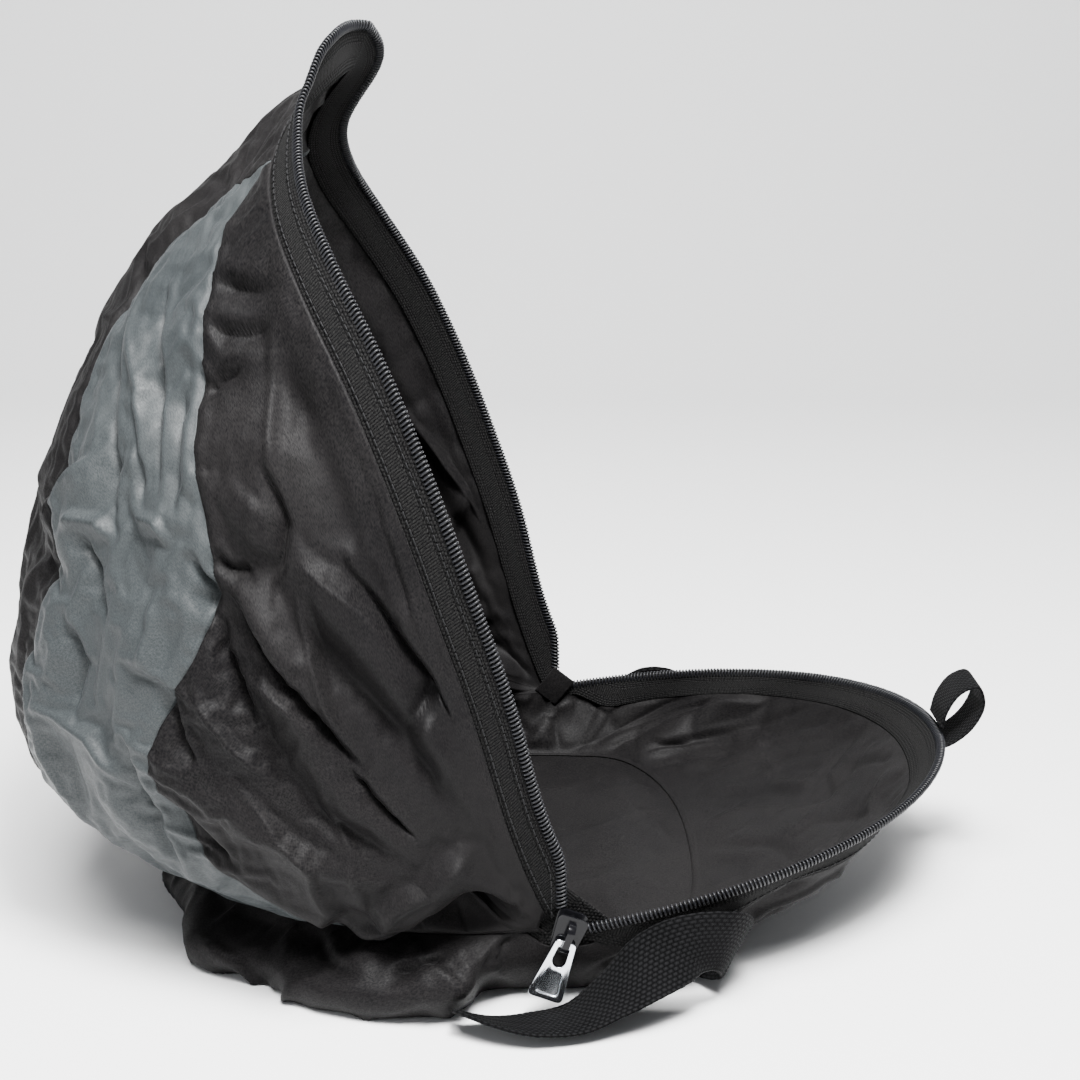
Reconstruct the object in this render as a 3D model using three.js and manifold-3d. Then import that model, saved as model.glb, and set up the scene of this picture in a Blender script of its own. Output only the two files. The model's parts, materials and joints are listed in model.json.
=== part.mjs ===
import * as THREE from "three";
import Module from "manifold-3d";

const wasm = await Module();
wasm.setup();

// Packable backpack of thin nylon, lying half unzipped on its back panel.
// Millimetres, +Z up. The closed end is at -X, the open top end at +X, the near side at -Y.
// Both ends of the zip sit on one axis along Y; hood and zip swing round that axis like a pram hood.

// Driving sizes
const AXIS_X = 15;            // where the zip's ends sit along the pack
const AXIS_Z = 25;            // and how high above the ground
const HALF_WIDTH = 106;       // from the middle plane to a zip end
const CLOTH = 1.2;            // nylon with its seam allowance
const GAP = 0.3;              // clearance between neighbouring pieces
const TAPE_WIDTH = 12.5;      // one half of the zip tape, up to its coil
const TAPE_THICK = 1.0;
const COIL_RADIUS = 1.3;
const COIL_GAP = 0.8;         // between a tape's free edge and its coil
const WEBBING_WIDTH = 20;
const WEBBING_THICK = 1.4;
const SEAM_ANGLE = 184;       // direction of the hood's lower seam, seen from the zip axis

// Middle profile of the hood round the zip axis: direction, distance and sideways bulge
const HOOD_PROFILE = [
  { angle: 98, radius: 263, bulge: 25 },
  { angle: 104, radius: 261, bulge: 25 },
  { angle: 109, radius: 255, bulge: 24 },
  { angle: 115, radius: 243.5, bulge: 24 },
  { angle: 122, radius: 236.5, bulge: 25 },
  { angle: 131, radius: 224.5, bulge: 26 },
  { angle: 142, radius: 211, bulge: 27 },
  { angle: 152, radius: 201, bulge: 26 },
  { angle: 162, radius: 193, bulge: 23 },
  { angle: 171, radius: 180, bulge: 17 },
  { angle: 178, radius: 157, bulge: 8 },
  { angle: 184, radius: 130, bulge: 3 },
];

// Hem of the hood where its zip tape is sewn on: share of the way from zip end to crown, direction,
// and width of the tape
const HOOD_HEM = [
  { share: 0, angle: 119, tape: 3.5 },
  { share: 0.05, angle: 114, tape: 12.5 },
  { share: 0.16, angle: 109, tape: 12.5 },
  { share: 0.28, angle: 108.5, tape: 12.5 },
  { share: 0.44, angle: 109.3, tape: 12.5 },
  { share: 0.6, angle: 111, tape: 12.5 },
  { share: 0.72, angle: 111.5, tape: 12.5 },
  { share: 0.82, angle: 110.2, tape: 12.5 },
  { share: 0.92, angle: 105.8, tape: 12.5 },
  { share: 1, angle: 104.3, tape: 12.5 },
];

// Curl of the tape at the crown: it stands up on the near side and flops over on the far side
const CROWN_CURL = [
  { station: 0, stand: 0, fall: 0 },
  { station: 0.76, stand: 0, fall: 0 },
  { station: 0.85, stand: 0.3, fall: 0 },
  { station: 0.91, stand: 0.56, fall: 0 },
  { station: 0.98, stand: 0.56, fall: 0 },
  { station: 1.05, stand: 0.22, fall: 0.2 },
  { station: 1.12, stand: 0, fall: 0.35 },
  { station: 1.22, stand: 0, fall: 0.3 },
  { station: 1.38, stand: 0, fall: 0 },
  { station: 2, stand: 0, fall: 0 },
];
const CROWN_FALL = new THREE.Vector3(0.93, 0, -0.37);   // direction in which the crown's tape flops

// Seams of the grey stripe, as shares from zip end to crown, against the way from hem to lower seam
const STRIPE_SEAMS = [
  { drop: 0, side: 0.8, centre: 0.8 },
  { drop: 0.05, side: 0.79, centre: 0.83 },
  { drop: 0.1, side: 0.69, centre: 0.87 },
  { drop: 0.16, side: 0.61, centre: 0.89 },
  { drop: 0.22, side: 0.54, centre: 0.88 },
  { drop: 0.3, side: 0.46, centre: 0.82 },
  { drop: 0.4, side: 0.44, centre: 0.76 },
  { drop: 0.5, side: 0.45, centre: 0.71 },
  { drop: 0.62, side: 0.455, centre: 0.71 },
  { drop: 0.75, side: 0.41, centre: 0.75 },
  { drop: 0.87, side: 0.36, centre: 0.78 },
  { drop: 1, side: 0.33, centre: 0.78 },
];
const STRIPE_TIP = 0.03;

// Main folds of the hood: a line from one (drop, share) to another, half width and height over the cloth
const HOOD_FOLDS = [
  { drop: 0.05, share: 0.58, toDrop: 0.08, toShare: 0.36, half: 13, height: -3.5 },
  { drop: 0.06, share: 0.52, toDrop: 0.2, toShare: 0.66, half: 13, height: -4 },
  { drop: 0.24, share: 0.42, toDrop: 0.2, toShare: 0.24, half: 15, height: -6 },
  { drop: 0.2, share: 0.36, toDrop: 0.14, toShare: 0.2, half: 13, height: 4.5 },
  { drop: 0.34, share: 0.43, toDrop: 0.52, toShare: 0.25, half: 14, height: -5.5 },
  { drop: 0.29, share: 0.38, toDrop: 0.46, toShare: 0.24, half: 13, height: 4 },
  { drop: 0.62, share: 0.44, toDrop: 0.66, toShare: 0.24, half: 14, height: 3.5 },
  { drop: 0.74, share: 0.43, toDrop: 0.97, toShare: 0.25, half: 15, height: -5 },
  { drop: 0.8, share: 0.36, toDrop: 0.97, toShare: 0.16, half: 14, height: 5 },
  { drop: 0.14, share: 0.74, toDrop: 0.62, toShare: 0.55, half: 11, height: -3 },
  { drop: 0.2, share: 0.7, toDrop: 0.72, toShare: 0.66, half: 11, height: 3 },
  { drop: 0.3, share: 0.62, toDrop: 0.42, toShare: 0.5, half: 11, height: -3 },
  { drop: 0.48, share: 0.7, toDrop: 0.52, toShare: 0.86, half: 12, height: -5 },
  { drop: 0.72, share: 0.62, toDrop: 0.98, toShare: 0.46, half: 13, height: -4 },
  { drop: 0.05, share: 0.9, toDrop: 0.22, toShare: 0.86, half: 11, height: -4 },
  { drop: 0.1, share: 0.98, toDrop: 0.3, toShare: 0.94, half: 11, height: 3 },
  { drop: 0.6, share: 0.86, toDrop: 0.86, toShare: 0.95, half: 13, height: -4 },
];
const MM_PER_DROP = 290;      // length of the hood's cloth from hem to lower seam
const MM_PER_SHARE = 230;     // and from zip end to crown

// Base: the free zip edge round the open end, and the outline of the back panel on the ground
const BASE_EDGE = { reach: 138, angle: 10, halfWidth: 109 };
const FOOT = { closed: 114, open: 52, halfWidth: 97, closedPower: 0.69, openPower: 0.85 };
const OPEN_END_LIFT = 2.6;    // the back panel rises over the straps at the open end

// Slump of the base wall: share from zip end to the end of the pack, outward roll of the cloth, how high
// on the wall it is widest, and how far its underside reaches out and is lifted off the ground
const CLOSED_ROLL = [
  { share: 0, out: 3, high: 0.55, toe: 2, lift: 2.4 },
  { share: 0.05, out: 5, high: 0.52, toe: 3, lift: 1 },
  { share: 0.065, out: 8, high: 0.5, toe: 6, lift: 0.5 },
  { share: 0.085, out: 18, high: 0.47, toe: 16, lift: 0 },
  { share: 0.11, out: 21, high: 0.45, toe: 19, lift: 0 },
  { share: 0.15, out: 23, high: 0.43, toe: 21, lift: 0 },
  { share: 0.22, out: 21, high: 0.41, toe: 20, lift: 0 },
  { share: 0.32, out: 19, high: 0.4, toe: 17, lift: 0 },
  { share: 0.6, out: 18, high: 0.4, toe: 15, lift: 0 },
  { share: 0.8, out: 13, high: 0.44, toe: 10, lift: 0 },
  { share: 1, out: 11, high: 0.45, toe: 8, lift: 0 },
];
const OPEN_ROLL = [
  { share: 0, out: 3, high: 0.55, toe: 2, lift: 2.4 },
  { share: 0.2, out: 4, high: 0.5, toe: 3, lift: 2.6 },
  { share: 0.34, out: 5, high: 0.48, toe: 4, lift: 2.8 },
  { share: 0.5, out: 10, high: 0.44, toe: 7.5, lift: 3.2 },
  { share: 0.75, out: 14, high: 0.4, toe: 10.5, lift: 3.8 },
  { share: 1, out: 13, high: 0.4, toe: 10, lift: 4 },
];
// Wrinkles of the base wall: where along the edge, how far they spread along it, and their height
const WALL_FOLDS = [
  { share: 0.12, spread: 0.05, height: -2.5 },
  { share: 0.27, spread: 0.06, height: 3 },
  { share: 0.42, spread: 0.06, height: -3.5 },
  { share: 0.55, spread: 0.07, height: 3 },
  { share: 0.7, spread: 0.06, height: -3 },
  { share: 0.86, spread: 0.07, height: 2.5 },
];

// Shoulder strap from the top seam under the open end, round the near side, to its lower seam.
// Lean turns the webbing from lying flat over standing on its edge to lying on its other face; at its
// lower end it is pleated narrow and sewn to the roll.
const STRAP_ROUTE = [
  { x: 57, y: -34, z: 1, lean: 0, wide: 20 },
  { x: 58, y: -52, z: 1.1, lean: 0, wide: 20 },
  { x: 62, y: -72, z: 2, lean: 4, wide: 20 },
  { x: 67, y: -88, z: 6.5, lean: 26, wide: 20 },
  { x: 71, y: -99, z: 15, lean: 58, wide: 20 },
  { x: 67, y: -108, z: 22, lean: 80, wide: 20 },
  { x: 57, y: -112.8, z: 23.5, lean: 96, wide: 20 },
  { x: 45, y: -115.2, z: 18.6, lean: 130, wide: 20 },
  { x: 33, y: -117.8, z: 10.2, lean: 166, wide: 20 },
  { x: 21, y: -121, z: 3.8, lean: 182, wide: 20 },
  { x: 8, y: -123.6, z: 3.2, lean: 190, wide: 20 },
  { x: -3, y: -124.4, z: 4.6, lean: 200, wide: 16 },
  { x: -15, y: -123.4, z: 7.6, lean: 212, wide: 8 },
];

// Haul loop at the middle of the open end, seen from the side
const HAUL_ROUTE = [
  { x: 147.6, z: 44.5 },
  { x: 154.5, z: 46.5 },
  { x: 162, z: 53 },
  { x: 165.4, z: 61.5 },
  { x: 163, z: 67.5 },
  { x: 157.2, z: 65.5 },
  { x: 152.8, z: 59 },
  { x: 151.2, z: 52.6 },
];
const HAUL_WIDTH = 20;

// Zip slider and its pull
const SLIDER = { x: 19, y: -109.5, z: 26, turn: 70, length: 12, mouth: 9.4, tail: 7.6 };
const PULL = { length: 20, top: 6.8, bottom: 10.8, thick: 1.5 };
const PULL_AXIS = { along: -2, out: 4 };

const BLACK_CLOTH = { color: 0x2b2a2c, roughness: 0.62, metalness: 0 };
const GREY_CLOTH = { color: 0x7d8587, roughness: 0.5, metalness: 0 };
const TAPE_CLOTH = { color: 0x222224, roughness: 0.8, metalness: 0 };
const COIL_NYLON = { color: 0x17171a, roughness: 0.35, metalness: 0 };
const WEBBING = { color: 0x19191b, roughness: 0.85, metalness: 0 };
const BLACK_ENAMEL = { color: 0x0d0d0f, roughness: 0.25, metalness: 0.4 };
const NICKEL = { color: 0xc3c8cd, roughness: 0.22, metalness: 1 };

const root = new THREE.Group();
root.name = "packable_backpack";

function addPiece(name, geometry, look) {
  const mesh = new THREE.Mesh(geometry, new THREE.MeshStandardMaterial(look));
  mesh.name = name;
  root.add(mesh);
}

const radians = THREE.MathUtils.degToRad;
const mix = THREE.MathUtils.lerp;

// Smooth reading of one column of a table between its rows
function read(rows, key, column, at) {
  const last = rows.length - 1;
  let row = 0;
  while (row < last - 1 && at > rows[row + 1][key]) {
    row += 1;
  }
  const slope = (i) => {
    const a = rows[Math.max(i - 1, 0)];
    const b = rows[Math.min(i + 1, last)];
    return (b[column] - a[column]) / (b[key] - a[key]);
  };
  const span = rows[row + 1][key] - rows[row][key];
  const t = THREE.MathUtils.clamp((at - rows[row][key]) / span, 0, 1);
  const start = (2 * t ** 3 - 3 * t ** 2 + 1) * rows[row][column];
  const end = (3 * t ** 2 - 2 * t ** 3) * rows[row + 1][column];
  const leave = (t ** 3 - 2 * t ** 2 + t) * span * slope(row);
  const arrive = (t ** 3 - t ** 2) * span * slope(row + 1);
  return start + end + leave + arrive;
}

// Point of an arch that starts at one zip end, passes the middle plane and ends at the other zip end.
// The station runs from 0 at the near zip end to 1 at the middle and 2 at the far zip end.
function archPoint(radius, angle, station, halfWidth, bulge) {
  const turn = station * Math.PI / 2;
  const reach = radius * Math.sin(turn);
  const across = -halfWidth * Math.cos(turn) - bulge * Math.sin(2 * turn);
  const x = AXIS_X + reach * Math.cos(radians(angle));
  const z = AXIS_Z + reach * Math.sin(radians(angle));
  return new THREE.Vector3(x, across, z);
}

const nearShare = (station) => Math.min(station, 2 - station);

// Smooth hood without its folds; drop runs from 0 at the zip hem to 1 at the lower seam
function smoothHood(drop, station) {
  const hem = read(HOOD_HEM, "share", "angle", nearShare(station));
  const angle = mix(hem, SEAM_ANGLE, drop);
  const radius = read(HOOD_PROFILE, "angle", "radius", angle);
  const bulge = read(HOOD_PROFILE, "angle", "bulge", angle);
  return archPoint(radius, angle, station, HALF_WIDTH, bulge);
}

function hoodNormal(drop, station) {
  const step = 0.004;
  const at = THREE.MathUtils.clamp(station, 0.04, 1.96);
  const down = smoothHood(drop + step, at).sub(smoothHood(drop - step, at));
  const along = smoothHood(drop, at + step).sub(smoothHood(drop, at - step));
  return along.cross(down).normalize();
}

// Height of the folds over the smooth hood
function foldHeight(drop, share) {
  let height = 0;
  for (const fold of HOOD_FOLDS) {
    const px = (drop - fold.drop) * MM_PER_DROP;
    const py = (share - fold.share) * MM_PER_SHARE;
    const lx = (fold.toDrop - fold.drop) * MM_PER_DROP;
    const ly = (fold.toShare - fold.share) * MM_PER_SHARE;
    const long = Math.hypot(lx, ly);
    const along = (px * lx + py * ly) / long;
    const off = (px * ly - py * lx) / long / fold.half;
    const past = Math.max(0, -along, along - long) / fold.half;
    height += fold.height * (1 - 0.7 * off * off) * Math.exp(-off * off - past * past);
  }
  return height;
}

// The folds die out towards hem, lower seam and zip ends, where the cloth is sewn down
function hoodPoint(drop, station) {
  const share = nearShare(station);
  const hold = THREE.MathUtils.smoothstep(drop, 0, 0.08) * THREE.MathUtils.smoothstep(1 - drop, 0, 0.06);
  const ease = hold * THREE.MathUtils.smoothstep(share, 0.05, 0.2);
  const normal = hoodNormal(drop, station);
  return smoothHood(drop, station).addScaledVector(normal, ease * foldHeight(drop, share));
}

// Closed solid from an inner and an outer net of points; a ring joins its last row to its first
function shell(outer, inner, ring) {
  const rows = outer.length;
  const columns = outer[0].length;
  const positions = [];
  for (const net of [outer, inner]) {
    for (const line of net) {
      for (const p of line) {
        positions.push(p.x, p.y, p.z);
      }
    }
  }
  const index = [];
  const at = (layer, row, column) => layer * rows * columns + (row % rows) * columns + column;
  const quad = (a, b, c, d) => index.push(a, b, c, a, c, d);
  const bands = ring ? rows : rows - 1;
  for (let i = 0; i < bands; i += 1) {
    for (let j = 0; j < columns - 1; j += 1) {
      const next = (i + 1) % rows;
      const falling = outer[i][j].distanceTo(outer[next][j + 1]);
      const rising = outer[next][j].distanceTo(outer[i][j + 1]);
      const straight = falling < rising;
      if (straight) {
        quad(at(0, i, j), at(0, i + 1, j), at(0, i + 1, j + 1), at(0, i, j + 1));
        quad(at(1, i, j), at(1, i, j + 1), at(1, i + 1, j + 1), at(1, i + 1, j));
      } else {
        quad(at(0, i + 1, j), at(0, i + 1, j + 1), at(0, i, j + 1), at(0, i, j));
        quad(at(1, i, j + 1), at(1, i + 1, j + 1), at(1, i + 1, j), at(1, i, j));
      }
    }
    quad(at(0, i, 0), at(1, i, 0), at(1, i + 1, 0), at(0, i + 1, 0));
    const end = columns - 1;
    quad(at(0, i, end), at(0, i + 1, end), at(1, i + 1, end), at(1, i, end));
  }
  if (!ring) {
    const top = rows - 1;
    for (let j = 0; j < columns - 1; j += 1) {
      quad(at(0, 0, j), at(0, 0, j + 1), at(1, 0, j + 1), at(1, 0, j));
      quad(at(0, top, j), at(1, top, j), at(1, top, j + 1), at(0, top, j + 1));
    }
  }
  const geometry = new THREE.BufferGeometry();
  geometry.setAttribute("position", new THREE.Float32BufferAttribute(positions, 3));
  geometry.setIndex(index);
  return faceOut(geometry);
}

// Turn a closed solid so that its triangles face outwards
function faceOut(geometry) {
  const p = geometry.getAttribute("position");
  const index = geometry.getIndex();
  const corner = [new THREE.Vector3(), new THREE.Vector3(), new THREE.Vector3()];
  let volume = 0;
  for (let i = 0; i < index.count; i += 3) {
    for (let k = 0; k < 3; k += 1) {
      corner[k].fromBufferAttribute(p, index.getX(i + k));
    }
    volume += corner[0].dot(corner[1].clone().cross(corner[2]));
  }
  if (volume < 0) {
    const flipped = [];
    for (let i = 0; i < index.count; i += 3) {
      flipped.push(index.getX(i), index.getX(i + 2), index.getX(i + 1));
    }
    geometry.setIndex(flipped);
  }
  geometry.computeVertexNormals();
  return geometry;
}

// Pull the two side lines of a net in from the seam by half the clearance
function inset(net, amount) {
  const move = (line, from, to) => {
    const step = line[to].clone().sub(line[from]);
    line[from].addScaledVector(step, amount / step.length());
  };
  for (const line of net) {
    move(line, 0, 1);
    move(line, line.length - 1, line.length - 2);
  }
}

// Hood panel between two seams, each a function of the drop that gives a station
function hoodPanel(name, fromSeam, toSeam, drops, columns, look) {
  const outer = [];
  const inner = [];
  for (const drop of drops) {
    const outerLine = [];
    const innerLine = [];
    for (let j = 0; j <= columns; j += 1) {
      const station = mix(fromSeam(drop), toSeam(drop), j / columns);
      const normal = hoodNormal(drop, station);
      const middle = hoodPoint(drop, station);
      outerLine.push(middle.clone().addScaledVector(normal, CLOTH / 2));
      innerLine.push(middle.clone().addScaledVector(normal, -CLOTH / 2));
    }
    outer.push(outerLine);
    inner.push(innerLine);
  }
  inset(outer, GAP / 2);
  inset(inner, GAP / 2);
  addPiece(name, shell(outer, inner, false), look);
}

function evenSteps(from, to, count) {
  return Array.from({ length: count + 1 }, (unused, i) => mix(from, to, i / count));
}

const sideSeam = (drop) => read(STRIPE_SEAMS, "drop", "side", drop);
const centreSeam = (drop) => read(STRIPE_SEAMS, "drop", "centre", drop);
const ZIP_END = 0.016;
const NEAR_ZIP_START = 0.02;
const FAR_ZIP_END = 0.008;
const stripeDrops = evenSteps(STRIPE_TIP, 0.996, 21);
const panelDrops = [0.004, 0.026, ...stripeDrops];

hoodPanel("hood_side_near", () => ZIP_END, sideSeam, panelDrops, 15, BLACK_CLOTH);
hoodPanel("hood_side_far", (d) => 2 - sideSeam(d), () => 2 - FAR_ZIP_END, panelDrops, 15, BLACK_CLOTH);
hoodPanel("hood_stripe_near", sideSeam, centreSeam, stripeDrops, 7, GREY_CLOTH);
const farSide = (seam) => (d) => 2 - seam(d);
hoodPanel("hood_stripe_far", farSide(centreSeam), farSide(sideSeam), stripeDrops, 7, GREY_CLOTH);
hoodPanel("hood_centre", centreSeam, (d) => 2 - centreSeam(d), panelDrops, 8, BLACK_CLOTH);

// Band of even thickness between two lines of points, with a normal for each pair
function band(first, second, normals, thick) {
  const moved = (p, i, by) => p.clone().addScaledVector(normals[i], by);
  const face = (by) => first.map((p, i) => [moved(p, i, by), moved(second[i], i, by)]);
  const outer = face(thick / 2);
  const inner = face(-thick / 2);
  return shell(outer, inner, false);
}

// Bead of the zip coil: a tube along a line of points, with both ends closed
function bead(points, radius, sides) {
  const curve = new THREE.CatmullRomCurve3(points);
  const section = new THREE.Shape();
  for (let k = 0; k < sides; k += 1) {
    const turn = 2 * Math.PI * k / sides;
    const x = radius * Math.cos(turn);
    const y = radius * Math.sin(turn);
    if (k === 0) {
      section.moveTo(x, y);
    } else {
      section.lineTo(x, y);
    }
  }
  const steps = points.length - 1;
  return new THREE.ExtrudeGeometry(section, { extrudePath: curve, steps, bevelEnabled: false });
}

// Hood half of the zip: the tape carries the cloth on from the hem, the coil sits along its free edge
function hoodZip() {
  const stations = evenSteps(NEAR_ZIP_START, 2 - FAR_ZIP_END, 60);
  const hemLine = [];
  const edgeLine = [];
  const coilLine = [];
  const normals = [];
  for (const station of stations) {
    const share = nearShare(station);
    const at = THREE.MathUtils.clamp(station, 0.04, 1.96);
    const forward = smoothHood(-0.004, at).sub(smoothHood(0.004, at)).normalize();
    const stand = read(CROWN_CURL, "station", "stand", station);
    const fall = read(CROWN_CURL, "station", "fall", station);
    forward.lerp(hoodNormal(0, at), stand).normalize();
    forward.lerp(CROWN_FALL, fall).normalize();
    const along = smoothHood(0, at + 0.004).sub(smoothHood(0, at - 0.004));
    const hem = smoothHood(0.001, station);
    const width = Math.min(read(HOOD_HEM, "share", "tape", share), TAPE_WIDTH);
    hemLine.push(hem.clone().addScaledVector(forward, GAP + 0.9 * stand + 0.6 * fall));
    edgeLine.push(hem.clone().addScaledVector(forward, width - COIL_RADIUS - COIL_GAP));
    coilLine.push(hem.clone().addScaledVector(forward, width));
    normals.push(forward.clone().cross(along).normalize());
  }
  addPiece("hood_zip_tape", band(hemLine, edgeLine, normals, TAPE_THICK), TAPE_CLOTH);
  addPiece("hood_zip_coil", bead(coilLine, COIL_RADIUS, 6), COIL_NYLON);
}
hoodZip();

// Outline of the back panel on the ground; side is -1 for the closed end and 1 for the open end
function footPoint(station, side) {
  const turn = station * Math.PI / 2;
  const power = side < 0 ? FOOT.closedPower : FOOT.openPower;
  const reach = side < 0 ? FOOT.closed : FOOT.open;
  const x = AXIS_X + side * reach * Math.max(Math.sin(turn), 0) ** power;
  const y = -FOOT.halfWidth * Math.sign(Math.cos(turn)) * Math.abs(Math.cos(turn)) ** power;
  return new THREE.Vector3(x, y, panelHeight(x));
}

// Middle of the back panel's cloth: flat on the ground, rising at the open end
function panelHeight(x) {
  return CLOTH / 2 + OPEN_END_LIFT * THREE.MathUtils.smoothstep(x, 22, 48);
}

// Section of the base wall at one station, from its upper edge down to the back panel
function wallSection(station, side) {
  const share = nearShare(station);
  const foot = footPoint(station, side);
  const edge = archPoint(BASE_EDGE.reach, BASE_EDGE.angle, station, BASE_EDGE.halfWidth, 0);
  const top = side < 0 ? smoothHood(1, station) : edge;
  const rows = side < 0 ? CLOSED_ROLL : OPEN_ROLL;
  let crease = 0;
  for (const fold of WALL_FOLDS) {
    const off = (share - fold.share) / fold.spread;
    crease += fold.height * Math.exp(-off * off) * THREE.MathUtils.smoothstep(share, 0.04, 0.2);
  }
  const out = read(rows, "share", "out", share) + crease;
  const away = new THREE.Vector3(top.x - AXIS_X, top.y, 0).normalize();
  if (share < 0.01) {
    away.set(0, Math.sign(top.y), 0);
  }
  const high = read(rows, "share", "high", share);
  const belly = foot.clone().lerp(top, high).addScaledVector(away, out);
  const toe = foot.clone().addScaledVector(away, read(rows, "share", "toe", share) + crease * 0.75);
  toe.z = foot.z + read(rows, "share", "lift", share);
  const curve = new THREE.CatmullRomCurve3([top, belly, toe, foot], false, "centripetal");
  return curve;
}

// Width of the base zip tape, tucked into the seam at the zip's ends
function baseTapeWidth(share) {
  return TAPE_WIDTH * THREE.MathUtils.smoothstep(share, 0, 0.16);
}

// How far below its section's top the wall's cloth starts: under the tape, and clear of the slider
function wallTop(station, side) {
  const share = nearShare(station);
  const room = station < 1 ? 5.5 : 0;
  const start = side < 0 ? 0 : 0.05;
  const dip = room * (1 - THREE.MathUtils.smoothstep(share, start, start + (side < 0 ? 0.05 : 0.06)));
  const tape = side < 0 ? 0 : baseTapeWidth(share) + 0.5;
  return (side < 0 ? 2.2 : 1.5) + Math.max(dip, tape);
}

// Base wall and the base half of the zip, worked out from the same sections
function baseWall() {
  const closedStations = evenSteps(0, 2, 38);
  const openStations = evenSteps(2, 0, 30).slice(1, -1);
  const stations = [];
  closedStations.forEach((station) => stations.push({ station, side: -1 }));
  openStations.forEach((station) => stations.push({ station, side: 1 }));
  const columns = 6;
  const net = stations.map(({ station, side }) => {
    const curve = wallSection(station, side);
    const long = curve.getLength();
    const taken = wallTop(station, side);
    return evenSteps(taken / long, 1 - 0.9 / long, columns).map((u) => curve.getPointAt(u));
  });
  const count = net.length;
  const normals = net.map((line, i) => line.map((unused, j) => {
    const next = net[(i + 1) % count][j];
    const before = net[(i + count - 1) % count][j];
    const along = next.clone().sub(before);
    const down = line[Math.min(j + 1, columns)].clone().sub(line[Math.max(j - 1, 0)]);
    return along.cross(down).normalize();
  }));
  const layer = (off) => net.map((line, i) => line.map((p, j) => {
    const q = p.clone().addScaledVector(normals[i][j], off);
    q.z = Math.max(q.z, 0);
    return q;
  }));
  addPiece("base_wall", shell(layer(CLOTH / 2), layer(-CLOTH / 2), true), BLACK_CLOTH);
}
baseWall();

function baseZip() {
  const hemLine = [];
  const edgeLine = [];
  const coilLine = [];
  const normals = [];
  for (const station of evenSteps(0.05, 1.985, 46)) {
    const curve = wallSection(station, 1);
    const long = curve.getLength();
    const width = Math.max(baseTapeWidth(nearShare(station)), COIL_RADIUS + COIL_GAP + 1);
    const hem = curve.getPointAt((width + 1.2) / long);
    const edge = curve.getPointAt((COIL_RADIUS + COIL_GAP + 0.2) / long);
    const ahead = wallSection(Math.min(station + 0.01, 1.99), 1).getPointAt(0);
    const behind = wallSection(Math.max(station - 0.01, 0.01), 1).getPointAt(0);
    const along = ahead.sub(behind);
    hemLine.push(hem);
    edgeLine.push(edge);
    coilLine.push(curve.getPointAt(0));
    normals.push(hem.clone().sub(edge).cross(along).normalize());
  }
  addPiece("base_zip_tape", band(hemLine, edgeLine, normals, TAPE_THICK), TAPE_CLOTH);
  addPiece("base_zip_coil", bead(coilLine, COIL_RADIUS, 6), COIL_NYLON);
}
baseZip();

// Back panel: a flat sheet with the outline of the foot, built in rings round its middle
function backPanel() {
  const outline = [];
  evenSteps(0, 2, 26).forEach((station) => outline.push(footPoint(station, -1)));
  evenSteps(2, 0, 20).slice(1, -1).forEach((station) => outline.push(footPoint(station, 1)));
  const middle = new THREE.Vector3(AXIS_X - 30, 0, 0);
  const rings = [0.04, 0.4, 0.75, 0.995];
  const layer = (off) => outline.map((p) => rings.map((share) => {
    const q = middle.clone().lerp(new THREE.Vector3(p.x, p.y, 0), share);
    q.z = panelHeight(q.x) + off;
    return q;
  }));
  const top = layer(CLOTH / 2);
  const bottom = layer(-CLOTH / 2);
  const positions = [];
  const index = [];
  const columns = rings.length;
  const count = outline.length;
  for (const net of [top, bottom]) {
    net.forEach((line) => line.forEach((p) => positions.push(p.x, p.y, p.z)));
  }
  const hub = 2 * count * columns;
  positions.push(middle.x, 0, panelHeight(middle.x) + CLOTH / 2);
  positions.push(middle.x, 0, panelHeight(middle.x) - CLOTH / 2);
  const at = (side, i, j) => side * count * columns + (i % count) * columns + j;
  const quad = (a, b, c, d) => index.push(a, b, c, a, c, d);
  for (let i = 0; i < count; i += 1) {
    index.push(hub, at(0, i + 1, 0), at(0, i, 0));
    index.push(hub + 1, at(1, i, 0), at(1, i + 1, 0));
    for (let j = 0; j < columns - 1; j += 1) {
      quad(at(0, i, j), at(0, i + 1, j), at(0, i + 1, j + 1), at(0, i, j + 1));
      quad(at(1, i, j), at(1, i, j + 1), at(1, i + 1, j + 1), at(1, i + 1, j));
    }
    const rim = columns - 1;
    quad(at(0, i, rim), at(0, i + 1, rim), at(1, i + 1, rim), at(1, i, rim));
  }
  const geometry = new THREE.BufferGeometry();
  geometry.setAttribute("position", new THREE.Float32BufferAttribute(positions, 3));
  geometry.setIndex(index);
  addPiece("back_panel", faceOut(geometry), BLACK_CLOTH);
}
backPanel();

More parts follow.
